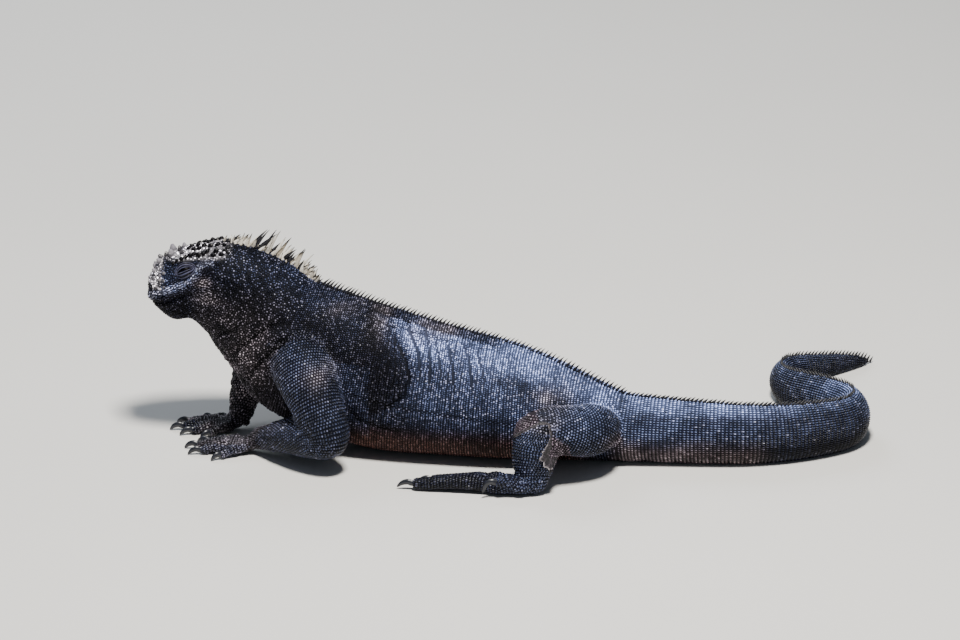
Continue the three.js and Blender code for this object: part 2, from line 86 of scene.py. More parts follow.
def walked_along(points):
    """The distance walked along a run of points, up to each of them."""
    return np.concatenate([[0], np.cumsum(np.linalg.norm(np.diff(points, axis=0), axis=1))])


class Form:
    def __init__(self, rows, reference=None):
        self.rows = np.array(rows, float)
        self.reference = None if reference is None else np.array(reference, float)
        self.spans = len(rows) - 1

    def row(self, index):
        """The share of the run at which a row of the table lies."""
        return index / self.spans

    def values(self, t):
        """Every column at shares of the run, on a smooth curve through the rows."""
        rows = self.rows
        ends = np.vstack([2 * rows[0] - rows[1], rows, 2 * rows[-1] - rows[-2]])
        place = np.clip(np.atleast_1d(t), 0, 1) * self.spans
        i = np.minimum(place.astype(int), self.spans - 1)
        w = (place - i)[:, None]
        a, b, c, d = (ends[i + k] for k in range(4))
        start, end = (c - a) / 2, (d - b) / 2
        square = -3 * b + 3 * c - 2 * start - end
        cube = 2 * b - 2 * c + start + end
        return b + start * w + square * w**2 + cube * w**3

    def frames(self, t):
        """Centre, direction of the run, sideways and upward directions, and the other columns."""
        t = np.atleast_1d(np.asarray(t, float))
        values = self.values(t)
        ahead, behind = self.values(np.minimum(1, t + RUN_STEP)), self.values(np.maximum(0, t - RUN_STEP))
        along = ahead[:, :3] - behind[:, :3]
        up_axis = self.reference
        if up_axis is None:
            along[:, 2] = 0
            up_axis = np.array(UP, float)
        along = unit(along)
        side = unit(np.cross(up_axis, along))
        up = np.cross(along, side)
        lean = np.radians(values[:, 6:7])
        up = up * np.cos(lean) + along * np.sin(lean)
        return values[:, :3], along, side, up, values[:, 3:]

    def point(self, t, angle, grow=0.0, share=1.0):
        """Points of the surface, at angles round from the top. grow moves them out."""
        centre, along, side, up, rest = self.frames(t)
        s, c = np.sin(angle), np.cos(angle)
        reach = np.maximum(rest[:, :3] + grow, LEAST_REACH)
        pinch = np.where(c > 0, 1 - rest[:, 4] * c * c, 1)
        width = reach[:, 2] * s * pinch * share
        height = np.where(c > 0, reach[:, 0] * c, -reach[:, 1] * np.abs(c) ** rest[:, 5]) * share
        return centre + side * width[:, None] + up * height[:, None]

    def backward(self, t, angle):
        """The step over the surface from just before a point to just behind it."""
        step = 2 * RUN_STEP
        return self.point(np.minimum(1, t + step), angle) - self.point(np.maximum(0, t - step), angle)

    def normal(self, t, angle):
        round_ = self.point(t, angle + TURN_STEP) - self.point(t, angle - TURN_STEP)
        return unit(np.cross(self.backward(t, angle), round_))

    def lengths(self, samples=1500):
        """Shares of the run and the distance in millimetres walked along it up to each."""
        t = np.linspace(0, 1, samples)
        return t, walked_along(self.values(t)[:, :3])


# %% Trunk and tail
TRUNK = [
    [-268, -11.2, 116, 1.5, 1.5, 2, 0, 0, 1],
    [-266.8, -11, 116.5, 7, 7, 9.5, 0, -0.05, 0.95],
    [-263.5, -10.5, 119.5, 14, 12.5, 14, 2, -0.1, 0.9],
    [-256.5, -9.8, 119.5, 23.5, 20.5, 17.5, 3, -0.18, 0.88],
    [-246.5, -8.6, 119.5, 28, 26, 20.5, 4, -0.2, 0.86],
    [-235, -7.2, 120, 29.8, 25, 23.5, 5, -0.12, 0.85],
    [-223, -5.4, 118.5, 36, 33.5, 27, 7, -0.05, 0.85],
    [-209, -3.2, 111.5, 42.5, 42.5, 31, 12, 0.05, 0.85],
    [-194.5, -1.4, 102, 46.5, 46.5, 34.5, 18, 0.12, 0.82],
    [-178, 0, 85.5, 54, 52, 39.5, 19, 0.18, 0.8],
    [-157, 0, 71, 55, 53, 42.5, 15, 0.2, 0.75],
    [-126, 0, 60, 55.5, 54, 44.5, 11, 0.2, 0.68],
    [-88, 0, 51, 53.5, 52, 47, 7, 0.2, 0.62],
    [-43, 0, 45, 48, 46, 48, 4, 0.2, 0.6],
    [0, 0, 40, 43, 41, 46.5, 1, 0.2, 0.6],
    [35, 0, 34.5, 36, 35.5, 40.5, 0, 0.22, 0.64],
    [62, -1, 29, 29.5, 30, 32, 0, 0.25, 0.72],
    [82, -2.5, 25.5, 25.5, 26.5, 26, 0, 0.3, 0.8],
]
VENT_ROW = len(TRUNK) - 1
# the tail's S as stretches, each with its length and how many degrees it turns
TAIL_RUNS = [[76, 9], [58, 24], [27, 10], [50, 94], [42, 16], [20, -22], [52, -90], [65, 12]]
TAIL_LENGTH = sum(length for length, turn in TAIL_RUNS)
TAIL_HEADING = -4
TAIL_STEP = 10
TAIL_ROOT_HEIGHT = 50.5
TAIL_TAPER = 1.25
TAIL_WIDTH_SHARE = 0.32
TAIL_ROOT_EXTRA = 9.5
TAIL_SINK = 0.6


def tail_rows():
    """Sections of the tail, one for each step of its length: tall, narrow and tapering."""
    rows = []
    x, y = TRUNK[-1][:2]
    heading, done = TAIL_HEADING, 0
    for length, turn in TAIL_RUNS:
        for _ in range(length):
            heading += turn / length
            x += math.cos(math.radians(heading))
            y += math.sin(math.radians(heading))
            done += 1
            if done % TAIL_STEP == 0 or done == TAIL_LENGTH - 1:
                share = done / TAIL_LENGTH
                height = TAIL_ROOT_HEIGHT * math.sqrt(max(0, 1 - share**TAIL_TAPER))
                side = TAIL_WIDTH_SHARE * height + TAIL_ROOT_EXTRA * math.exp(-share / 0.1)
                half = height / 2
                rows.append([x, y, half - TAIL_SINK, half, half, side, 0, 0.3 + 0.15 * share, 0.88])
    return rows


trunk = Form(TRUNK + tail_rows())
VENT = trunk.row(VENT_ROW)
print("trunk and tail:", round(trunk.lengths()[1][-1]), "mm along the middle")

# %% [markdown]
# ## Arms, legs and digits
# A bent limb is two tapered tubes, one for upper arm or thigh and one for forearm or shank, that
# overlap in the joint. They could be extruded from the trunk, but forms of their own can bend
# freely. Each row is a centre and a radius. A flat palm and five digits end each limb.

# %% Arms and legs
LIMBS = {
    "left_arm": {
        "upper": [
            [-158, -18, 84, 16], [-152, -31, 76, 22], [-145, -44, 64, 22], [-136, -56, 50, 19.5],
            [-129, -63, 36, 17.5], [-126.5, -65, 26, 15.5], [-127, -65, 17, 10],
        ],
        "lower": [
            [-120, -67, 31, 12], [-128, -64, 28, 16], [-141, -57, 26, 16.5], [-155, -49, 22.5, 14.5],
            [-169, -40, 17, 11.3], [-180, -33, 12.5, 9], [-185, -30.5, 10.5, 8],
        ],
        "end": {"place": [-183, -32, 10], "heading": 179, "palm": 22, "width": 10.5, "thick": 6.4},
    },
    "right_arm": {
        "upper": [
            [-144, 14, 78, 16], [-156, 28, 73, 22], [-168, 39, 66, 20.5], [-179, 45.5, 60.5, 18.5],
            [-188, 49.5, 56, 16.5], [-195, 52, 52.5, 13], [-199.5, 53.5, 50, 8],
        ],
        "lower": [
            [-189, 50, 62, 11], [-193, 45.5, 54, 15], [-198, 38, 43, 15], [-201, 28, 31, 13.2],
            [-203, 18, 20, 11], [-204, 11, 12.5, 9.2], [-205, 8.5, 9.5, 8],
        ],
        "end": {"place": [-203, 9, 9.5], "heading": 189, "palm": 19, "width": 10.5, "thick": 6.4},
    },
    "left_leg": {
        "upper": [
            [70, -16, 30, 14], [66, -30, 33, 18], [60, -43, 36.5, 19.8], [50, -53, 40, 18.8],
            [40, -60, 43.5, 17.5], [31, -65, 46, 15.5], [25, -67, 47, 9],
        ],
        "lower": [
            [30, -62, 57, 10], [30, -64, 49, 17], [28, -67, 38, 18.5], [26, -71, 26.5, 17],
            [25.5, -75, 16, 14.5], [26, -78, 9.5, 11.5], [26.5, -79, 5, 9],
        ],
        "end": {"place": [30, -79, 9], "heading": 180, "palm": 36, "width": 12.5, "thick": 8.5},
    },
    "right_leg": {
        "upper": [
            [72, 12, 22, 14], [69, 26, 20.5, 17], [63, 40, 19.5, 17.8], [53, 53, 19, 17],
            [42, 62, 18.5, 15.5], [34, 67, 18, 13.5], [28, 70, 17.5, 8],
        ],
        "lower": [
            [32, 61, 18, 9], [33, 67, 18, 13.5], [38, 75, 17, 14], [46, 83, 14.5, 12],
            [53, 89, 11.5, 9.5], [57, 92, 9, 8], [59, 93.5, 8, 7],
        ],
        "end": {"place": [58, 92, 8], "heading": 172, "palm": 36, "width": 12, "thick": 6.4},
    },
}
LIMB_REFERENCE = [0.2, 0, 1]


def limb(rows):
    return Form([[x, y, z, r, r, r, 0, 0, 1] for x, y, z, r in rows], LIMB_REFERENCE)


print("limbs:", ", ".join(LIMBS))

# %% Hands, feet and their digits
# length, angle outward, how far back the root lies, radius, claw length and lift of the tip
DIGITS = {
    "arm": [[13, -26, 7, 3.8, 8, 0], [20, -12, 1.5, 4.1, 9, 0], [25, 1, 0, 4.2, 9, 0],
            [23, 15, 1.5, 4.1, 9, 0], [15, 36, 8, 3.8, 8, 0]],
    "leg": [[15, -20, 9, 4.5, 8, 0], [29, -10, 2, 4.9, 9, 0], [44, -4, 0, 5.3, 9.5, 0],
            [58, 1, 2, 5.5, 11, 0], [15, 14, 21, 4.6, 9.5, 8]],
}
MIDDLE_DIGIT = 2
DIGITS_ACROSS = 2.6
FLOOR_CLEAR = 0.25
CLAW_FROM = 5


def heading_of(end):
    heading = math.radians(end["heading"])
    return math.cos(heading), math.sin(heading)


def palm_form(end):
    x, y, z = end["place"]
    cos, sin = heading_of(end)
    palm, width, thick = end["palm"], end["width"], end["thick"]
    rows = [
        [-5, z, 5.5, 5.5, 6],
        [3, z - 0.5, thick, thick, width * 0.8],
        [palm * 0.55, 6, 5.4, 6, width],
        [palm * 0.9, 4.9, 4.4, 5, width],
        [palm + 2, 4.4, 3, 3.6, width * 0.8],
    ]
    return Form([[x + cos * s, y + sin * s, *section, 0, 0, 1] for s, *section in rows], UP)


def digit_forms(end, digit, number, hand):
    """One digit's flesh and the horn of its claw, which follows on the same line."""
    length, angle, back, radius, claw, lift = digit
    x, y, _ = end["place"]
    cos, sin = heading_of(end)
    outward = hand * (number - MIDDLE_DIGIT) * end["width"] / DIGITS_ACROSS
    s = end["palm"] - back
    root = [x + cos * s + sin * outward, y + sin * s - cos * outward]
    heading = math.radians(end["heading"] - hand * angle)
    rest = radius - FLOOR_CLEAR + lift
    # place along the digit, height, radius of the flesh and radius of the horn
    run = [
        [-6, 5.2, radius, 0],
        [-4, 5.2, radius, 0],
        [length * 0.3, rest + 2.6, radius, 0],
        [length * 0.62, rest + 1.4, radius * 0.94, 0],
        [length * 0.85, rest, radius * 0.92, 2],
        [length, rest - 0.2, radius * 0.76, 2.1],
        [length + claw * 0.3, rest + 0.6, 2.2, 2],
        [length + claw * 0.65, rest - 0.4, 1.6, 1.6],
        [length + claw * 0.9, max(1.1, rest - 2.4 - lift * 0.3), 1, 0.95],
        [length + claw, max(0.7, rest - 3.6 - lift * 0.5), 0.4, 0.4],
    ]
    flesh, horn = [], []
    for s, z, thick, thin in run:
        place = [root[0] + math.cos(heading) * s, root[1] + math.sin(heading) * s, z]
        flesh.append([*place, thick, thick, thick * 1.02, 0, 0.1, 0.9])
        horn.append([*place, thin * 1.25, thin, thin * 0.8, 0, 0.25, 1])
    return Form(flesh, UP), Form(horn, UP)


forms = {"trunk": (trunk, 0, 1)}
claw_forms = {}
for limb_name, plan in LIMBS.items():
    side_name, kind = limb_name.split("_")
    forms[limb_name + "_upper"] = (limb(plan["upper"]), 0, 1)
    forms[limb_name + "_lower"] = (limb(plan["lower"]), 0, 1)
    forms[limb_name + "_palm"] = (palm_form(plan["end"]), 0, 1)
    for number, digit in enumerate(DIGITS[kind]):
        flesh, horn = digit_forms(plan["end"], digit, number, SIDES[side_name])
        forms[f"{limb_name}_digit_{number + 1}"] = (flesh, flesh.row(1), flesh.row(CLAW_FROM))
        claw_forms[f"{limb_name}_{number + 1}"] = horn
print("forms:", len(forms), "and claws:", len(claw_forms))

# %% [markdown]
# ## From tubes to one skin
# The skin of the real animal has no seams where the limbs leave the trunk. Each form starts as a UV
# sphere, a closed ball of rings: its rings are laid along the form, as one would pull clay over
# wire. The tubes are joined, and a voxel remesh melts them into one closed
# surface with even faces, which is then softened in the creases and shaped in detail.

# %% Working on a piece


def nothing_selected():
    if bpy.context.object and bpy.context.object.mode != "OBJECT":
        bpy.ops.object.mode_set(mode="OBJECT")
    bpy.ops.object.select_all(action="DESELECT")


def only(piece):
    """Selects one piece and makes it the active one."""
    nothing_selected()
    piece.select_set(True)
    bpy.context.view_layer.objects.active = piece


def vectors_of(collection, field):
    values = np.zeros(len(collection) * 3, np.float32)
    collection.foreach_get(field, values)
    return values.reshape(-1, 3).astype(float)


def points_of(piece):
    return vectors_of(piece.data.vertices, "co")


def normals_of(piece):
    return vectors_of(piece.data.vertex_normals, "vector")


def faces_of(piece):
    return [tuple(face.vertices) for face in piece.data.polygons]


def set_points(piece, points):
    piece.data.vertices.foreach_set("co", points.astype(np.float32).ravel())
    piece.data.update()


def tree_of(piece):
    """A search tree of a piece's surface, in millimetres."""
    return BVHTree.FromPolygons([Vector(p) for p in points_of(piece) / MM], faces_of(piece))


def faces_outward(piece):
    only(piece)
    bpy.ops.object.mode_set(mode="EDIT")
    bpy.ops.mesh.select_all(action="SELECT")
    bpy.ops.mesh.normals_make_consistent(inside=False)
    bpy.ops.object.mode_set(mode="OBJECT")


def applied(piece, kind, **settings):
    """Adds a modifier, sets it and applies it."""
    only(piece)
    modifier = piece.modifiers.new(kind.lower(), kind)
    for setting, value in settings.items():
        setattr(modifier, setting, value)
    bpy.ops.object.modifier_apply(modifier=modifier.name)


# %% Tubes
# rings along, points round, and how far the skin moves out of the form, in millimetres
TRUNK_TUBE = (320, 96, -0.9)
LIMB_TUBE = (30, 40, -0.7)
DIGIT_TUBE = (24, 16, -0.45)


def tube(name, form, start, end, rings, around, grow):
    """A UV sphere whose rings are laid along a form, from one share of its run to another."""
    nothing_selected()
    bpy.ops.mesh.primitive_uv_sphere_add(segments=around, ring_count=rings + 2, radius=1)
    piece = bpy.context.object
    piece.name = name
    ball = points_of(piece)
    ring = np.round(np.arccos(np.clip(ball[:, 2], -1, 1)) * (rings + 2) / math.pi)
    share = np.where((ring < 0.5) | (ring > rings + 1.5), 0.0, 1.0)
    t = start + (end - start) * np.clip((ring - 1) / rings, 0, 1)
    set_points(piece, form.point(t, np.arctan2(ball[:, 0], ball[:, 1]), grow, share) * MM)
    faces_outward(piece)
    return piece


tubes = []
for form_name, (form, start, end) in forms.items():
    size = TRUNK_TUBE if form_name == "trunk" else DIGIT_TUBE if "digit" in form_name else LIMB_TUBE
    tubes.append(tube(form_name, form, start, end, *size))
tube_trees = {piece.name: tree_of(piece) for piece in tubes}
print("tubes:", len(tubes))

# %% Melted into one
VOXEL = 0.00183

nothing_selected()
for piece in tubes:
    piece.select_set(True)
bpy.context.view_layer.objects.active = tubes[0]
bpy.ops.object.join()
skin = bpy.context.object
skin.name = "skin"
skin.data.name = "skin"
applied(skin, "REMESH", mode="VOXEL", voxel_size=VOXEL)
print("skin faces:", len(skin.data.polygons))

# %% Creases between limbs and trunk
# Where two forms are both near, the skin is smoothed long, so that it runs over from one to the
# other as flesh does. Everywhere else a short smoothing takes away the steps of the voxels.
CREASE_REACH = 7.0
CREASE_GAIN = 1.6
VOXEL_PASSES = 4
CREASE_PASSES = 22


def smooth(piece, weights, passes):
    group = piece.vertex_groups.new(name="smooth")
    for level in np.unique(np.round(weights, 1)):
        if level > 0:
            chosen = np.nonzero(np.round(weights, 1) == level)[0].tolist()
            group.add(chosen, float(level), "REPLACE")
    applied(piece, "SMOOTH", factor=0.5, iterations=passes, vertex_group="smooth")
    piece.vertex_groups.clear()


def crease_weights(points):
    """1 where the surfaces of two forms of different limbs are both close, 0 further off."""
    weights = np.zeros(len(points))
    trees = [tree for key, tree in tube_trees.items() if key.endswith(("trunk", "upper", "lower"))]
    for i, p in enumerate(points):
        near = [tree.find_nearest(Vector(p), CREASE_REACH)[3] for tree in trees]
        near = sorted(distance for distance in near if distance is not None)
        if len(near) > 1:
            weights[i] = min(1, CREASE_GAIN * (1 - near[1] / CREASE_REACH))
    return weights


smooth(skin, np.ones(len(skin.data.vertices)), VOXEL_PASSES)
weights = crease_weights(points_of(skin) / MM)
smooth(skin, weights, CREASE_PASSES)
print("vertices in creases:", int((weights > 0).sum()))

# %% [markdown]
# ## Sculpting the skin
# Mouth, lids, nostrils, ears and the loose folds of neck and flank are shallow shapes that follow
# lines on the side of the body. They could be brushed by hand. Here each is a line in side view
# with a width and a depth: every point of the skin near the line moves in or out along its
# own normal. The same lines serve both sides of the animal.

# %% Finer skin on the head
HEAD_BACK_X = -207

only(skin)
centres = vectors_of(skin.data.polygons, "center")
skin.data.polygons.foreach_set("select", centres[:, 0] / MM < HEAD_BACK_X)
bpy.ops.object.mode_set(mode="EDIT")
bpy.ops.mesh.select_mode(type="FACE")
bpy.ops.mesh.subdivide(number_cuts=1, smoothness=0.6)
bpy.ops.mesh.select_all(action="DESELECT")
bpy.ops.object.mode_set(mode="OBJECT")
smooth(skin, (points_of(skin)[:, 0] / MM < HEAD_BACK_X + 4).astype(float), 3)
print("skin vertices after the head is refined:", len(skin.data.vertices))

# %% Lines of the head in side view
MOUTH = [[-285, 109], [-268.5, 110], [-262, 110.5], [-253, 112.5], [-244, 116.5]]
MOUTH += [[-237, 120], [-231.5, 121.5]]
EYE = [-238.5, 138.5]
EAR = [-210.6, 131.4]
NOSTRIL = [-264.2, 122.5]
CHEEK_CORNER = [-232, 123.5]
LIP_BAND = [[-267, 114], [-258.2, 119.5], [-252, 122.2], [-243.3, 126.4], [-236.2, 129.6]]
TEMPLE = [[-237, 129.4], [-234.8, 131.2], [-231, 136.4], [-228.2, 140.2], [-223, 144], [-216.5, 144.4]]
BROW = [[-248.5, 141], [-245, 143.4], [-241.9, 144.8], [-239.6, 145.8], [-236.3, 146.8]]
BROW += [[-232.3, 147.7], [-226, 148.5]]
HEAD_END_X = -200


def line_distance(points, line):
    """Distance in side view to a line, positive on its left, and the share of the line walked."""
    flat = points[:, [0, 2]]
    line = np.array(line, float)
    best = np.full(len(flat), np.inf)
    signed = np.zeros(len(flat))
    share = np.zeros(len(flat))
    lengths = np.linalg.norm(np.diff(line, axis=0), axis=1)
    walked = walked_along(line)
    for i in range(len(line) - 1):
        a, d = line[i], (line[i + 1] - line[i]) / lengths[i]
        s = np.clip((flat - a) @ d, 0, lengths[i])
        miss = flat - (a + s[:, None] * d)
        distance = np.linalg.norm(miss, axis=1)
        nearer = distance < best
        cross = d[0] * miss[:, 1] - d[1] * miss[:, 0]
        best[nearer] = distance[nearer]
        signed[nearer] = (np.sign(cross) * distance)[nearer]
        share[nearer] = ((walked[i] + s) / walked[-1])[nearer]
    return signed, share


def hump(x, width):
    """1 in the middle, and close to nothing two widths off."""
    return np.exp(-((x / width) ** 2))


def oval(x, z, place, reach):
    """A round or oval hump in side view."""
    return np.exp(-(((x - place[0]) / reach[0]) ** 2) - ((z - place[1]) / reach[1]) ** 2)


def ends(share, start=0.12, end=0.12):
    """Fades a line out at both ends."""
    return np.clip(share / start, 0, 1) * np.clip((1 - share) / end, 0, 1)


def from_eye(points):
    return np.hypot((points[:, 0] - EYE[0]) / 1.12, points[:, 2] - EYE[1])


def sculpt(moves):
    """Moves the skin along its own normals by a length in millimetres for each vertex."""
    set_points(skin, points_of(skin) + normals_of(skin) * (moves * MM)[:, None])


print("the brow is", round(walked_along(np.array(BROW))[-1], 1), "mm long")

# %% Mouth, lip band, wrinkles, brow, ear and nostril
points = points_of(skin) / MM
sideways = np.clip(np.abs(normals_of(skin)[:, 1]) * 1.6, 0, 1)
distance, share = line_distance(points, MOUTH)
front = np.clip((-230.5 - points[:, 0]) / 3, 0, 1) * (points[:, 0] < -225)
moves = (-1.6 * hump(distance, 0.8) + hump(distance - 2.6, 1.7) + 0.7 * hump(distance + 2.6, 1.8)) * front
# the upper lip's band and the fold that climbs from it behind the eye
for line, height, width in ((LIP_BAND, 1.2, 1.5), (TEMPLE, 1.2, 1.3)):
    distance, share = line_distance(points, line)
    roll = height * hump(distance, width) - 0.8 * hump(distance + 2.6, 1.1) - 0.6 * hump(distance - 2.6, 1.2)
    moves += roll * ends(share, 0.06, 0.15) * sideways
# wrinkles spread from the corner of the mouth over the cheek: how steep and how long each is
for steepness, reach in ((-28, 15), (-8, 18), (12, 18), (32, 16)):
    run = math.radians(steepness)
    corner = np.array(CHEEK_CORNER)
    line = [corner, corner + reach * np.array([math.cos(run), math.sin(run)])]
    distance, share = line_distance(points, line)
    moves += -0.8 * hump(distance, 0.9) * ends(share, 0.1, 0.5) * sideways
distance, share = line_distance(points, BROW)
moves += (1.5 * hump(distance, 2.4) - 0.9 * hump(distance + 3.2, 1.2)) * ends(share, 0.15, 0.15)
# a groove, a roll and a finer groove ring the eye
orbit = from_eye(points)
moves += -0.7 * hump(orbit - 7.6, 1.1) * sideways
moves += (0.6 * hump(orbit - 9.6, 0.9) - 0.5 * hump(orbit - 12.0, 0.7)) * sideways * (points[:, 2] < 142)
ear = np.hypot((points[:, 0] - EAR[0]) / 1.6, points[:, 2] - EAR[1])
moves += (-1.1 * hump(ear, 2.0) + 0.4 * hump(ear - 4, 1.4)) * sideways
nostril = np.hypot(points[:, 0] - NOSTRIL[0], (points[:, 2] - NOSTRIL[1]) / 1.2)
moves += -2.2 * hump(nostril, 1.3) + 0.9 * hump(nostril - 2.8, 1.0)
moves = moves * (points[:, 0] < HEAD_END_X)
sculpt(moves)
print("the head moved by", round(moves.min(), 2), "to", round(moves.max(), 2), "mm")

# %% Folds of the throat, neck, armpit and flank
# line in side view, depth (a groove is negative) and width
FOLDS = [
    [[[-233, 80], [-224, 85], [-212, 92], [-203, 97]], -1.2, 2.2],
    [[[-214, 74], [-207.9, 83], [-197.7, 93.7], [-191.1, 105.5], [-188.5, 114]], 1.8, 3.4],
    [[[-219, 70], [-211, 80], [-203, 92], [-197, 104]], -1.4, 2.2],
    [[[-208, 66], [-200.6, 79], [-187.8, 92.1], [-176.7, 100.5], [-160, 107]], -2.9, 2.4],
    [[[-200, 60], [-192, 72], [-180, 86], [-166, 95], [-150, 100]], 1.8, 3.6],
    [[[-196, 52], [-188, 64], [-176, 80], [-164.9, 91], [-150, 96]], -2.2, 2.4],
    [[[-167.9, 77.6], [-153.9, 83.5], [-141, 84.5], [-128.6, 77], [-119, 61.9]], -1.0, 2.6],
    [[[-92, 106], [-85.2, 95.2], [-76, 84], [-70.9, 70], [-74, 57], [-84, 48.6], [-100, 40]], -1.7, 2.4],
    [[[-88, 106], [-81, 96], [-71, 84], [-66, 70], [-69, 56], [-82, 45]], 1.3, 2.6],
    [[[-80, 105], [-72.7, 96], [-65, 82], [-62, 66]], -2.0, 1.4],
    [[[-66, 101], [-59.7, 90], [-55.5, 74], [-54, 62]], -1.9, 1.3],
    [[[-57, 96], [-51, 84], [-48, 70]], -1.3, 1.2],
    [[[-49, 95], [-42.1, 83], [-38.7, 68], [-37, 58]], -1.5, 1.3],
    [[[-37, 91], [-29, 82], [-24.2, 62.4], [-23, 52]], -1.7, 1.3],
    [[[-25, 86], [-19.2, 77], [-15.4, 63.6]], -1.3, 1.2],
    [[[-104, 112], [-99, 100], [-97, 84], [-100, 66]], -0.6, 1.8],
    [[[-126, 111], [-88, 100], [-43, 89.6], [0, 80], [24, 72]], -0.9, 0.9],
    [[[-118, 50], [-108, 36], [-94, 30], [-70, 28]], -1.2, 2.6],
]
points = points_of(skin) / MM
normals = normals_of(skin)
sideways = np.clip(np.abs(normals[:, 1]) * 1.8, 0, 1)
on_trunk = np.clip((50 - np.abs(points[:, 1])) / 3, 0, 1)
moves = np.zeros(len(points))
for line, depth, width in FOLDS:
    distance, share = line_distance(points, line)
    side_shift = 0.6 * np.sin(share * 7 + line[0][0] + np.sign(points[:, 1]))
    moves += depth * hump(distance + side_shift, width) * ends(share, 0.2, 0.25)
# fine creases run upright over the whole flank between the folds
flank = np.clip((points[:, 0] + 108) / 20, 0, 1) * np.clip((40 - points[:, 0]) / 40, 0, 1)
wave = np.sin(points[:, 0] * 1.15 + 2.2 * np.sin(points[:, 2] * 0.07) + 1.3 * np.sin(points[:, 0] * 0.31))
moves += 0.3 * wave * flank * np.clip((points[:, 2] - 30) / 20, 0, 1)
sculpt(moves * (sideways * on_trunk))
print("folds:", len(FOLDS))

# %% Crest ridge and lumpy neck
# A low ridge carries the crest. The loose hide of neck and throat has lumps 5 to 9 mm apart.
crest_ridge = 1.3 * hump(points[:, 1], 5) * (normals[:, 2] > 0.6)
sculpt(crest_ridge * np.clip((points[:, 0] + 130) / 30, 0, 1) * np.clip((40 - points[:, 0]) / 30, 0, 1))
x, y, z = (points_of(skin) / MM).T
lumps = np.sin(0.95 * x + 1.7 * np.sin(0.33 * z)) * np.sin(0.8 * z + 0.5 * y + 1.9 * np.sin(0.27 * x))
lumps += 0.6 * np.sin(0.52 * x - 0.61 * z + 1.3 * np.sin(0.4 * y))
loose = np.clip((-158 - x) / 20, 0, 1) * np.clip((x + 228) / 12, 0, 1) * np.clip((138 - z) / 12, 0, 1)
sculpt(0.42 * lumps * loose)
print("vertices of loose hide:", int((loose > 0).sum()))

# %% The skin rests flat on the floor
SKIN_FLOOR = 0.35
points = points_of(skin) / MM
points[:, 2] = np.maximum(points[:, 2], SKIN_FLOOR)
set_points(skin, points * MM)
only(skin)
bpy.ops.object.shade_smooth()
skin_points = points_of(skin) / MM
skin_normals = normals_of(skin)
skin_faces = faces_of(skin)
skin_tree = tree_of(skin)
print("skin triangles:", sum(len(face) - 2 for face in skin_faces))

# %% [markdown]
# ## Scales
# The hide is a mosaic of horny granules, fine on the flank, in upright rows, larger and
# keeled on limbs and tail, where they form whole rings. Bump alone looks flat at this size, so each
# one is mesh. One scale is modelled once; rows walk along each form at an even spacing,
# drop onto the skin, and a copy of the scale with its own varied size is set on every root.
# They are drawn about a quarter larger than on the animal, so that each still shows.

# %% One scale, modelled once
random = np.random.default_rng(11)


def arrays_of(piece):
    """A piece's points and triangles as arrays, after which the piece is removed."""
    piece.data.calc_loop_triangles()
    triangles = np.zeros(len(piece.data.loop_triangles) * 3, np.int32)
    piece.data.loop_triangles.foreach_get("vertices", triangles)
    points = points_of(piece)
    mesh = piece.data
    bpy.data.objects.remove(piece)
    bpy.data.meshes.remove(mesh)
    return points, triangles.reshape(-1, 3)


def modelled_scale(segments, peak, rear_height, ridge):
    """A dome cut from a ball: its top moved back, its rear raised, its back drawn to a ridge."""
    nothing_selected()
    bpy.ops.mesh.primitive_uv_sphere_add(segments=segments, ring_count=4, radius=1)
    bpy.ops.object.mode_set(mode="EDIT")
    bpy.ops.mesh.select_all(action="SELECT")
    bpy.ops.mesh.bisect(plane_co=(0, 0, -0.02), plane_no=(0, 0, 1), clear_inner=True)
    bpy.ops.object.mode_set(mode="OBJECT")
    points, triangles = arrays_of(bpy.context.object)
    high = points[:, 2].copy()
    points[:, 0] += peak * high
    points[:, 2] *= 1 + rear_height * points[:, 0]
    points[:, 2] *= 1 - ridge * np.abs(points[:, 1])
    return points, triangles


granule = modelled_scale(5, 0.12, 0.1, 0)
bead = modelled_scale(7, 0.2, 0.15, 0)
rhomb = modelled_scale(6, 0.25, 0.2, 0.15)
keeled = modelled_scale(6, 0.5, 0.4, 0.5)
print("triangles in a granule:", len(granule[1]), "bead:", len(bead[1]), "keeled scale:", len(keeled[1]))

# %% Roots in rows along a form
# A table of roots has each one's place, the outward and backward directions, the share of the
# form's run and the angle round it, and how long and wide its scale is.
ROUND_POINTS = 181
FEWEST_ROUND = 5


def chosen_roots(roots, chosen):
    return {key: value[chosen] for key, value in roots.items()}


def ring_roots(form, start, end, pitch_along, pitch_round, stagger, jitter, steps=1):
    """Roots at an even spacing along and round a form. steps is what each ring's count divides by."""
    shares, walked = form.lengths()
    at, last = np.interp([start, end], shares, walked)
    at += 0.5 * pitch_along(start)
    angles = np.linspace(-math.pi, math.pi, ROUND_POINTS)
    rings = []
    while at < last:
        t = np.interp(at, walked, shares)
        long, loose = pitch_along(t), jitter(t)
        perimeter = walked_along(form.point(np.full(ROUND_POINTS, t), angles))
        count = max(FEWEST_ROUND, int(round(perimeter[-1] / pitch_round(t) / steps)) * steps)
        spots = (np.arange(count) + (0.5 if stagger and len(rings) % 2 else 0)) / count
        spots = (spots + loose * random.uniform(-0.5, 0.5, count) / count) % 1
        angle = np.interp(spots * perimeter[-1], perimeter, angles)
        run = np.interp(at + loose * long * random.uniform(-0.5, 0.5, count), walked, shares)
        size = np.column_stack([np.full(count, long), np.full(count, perimeter[-1] / count)])
        rings.append(np.column_stack([run, angle, size]))
        at += long
    table = np.vstack(rings)
    t, angle = table[:, 0], table[:, 1]
    roots = {"place": form.point(t, angle), "out": form.normal(t, angle)}
    return roots | {"back": unit(form.backward(t, angle)), "t": t, "angle": angle, "size": table[:, 2:]}


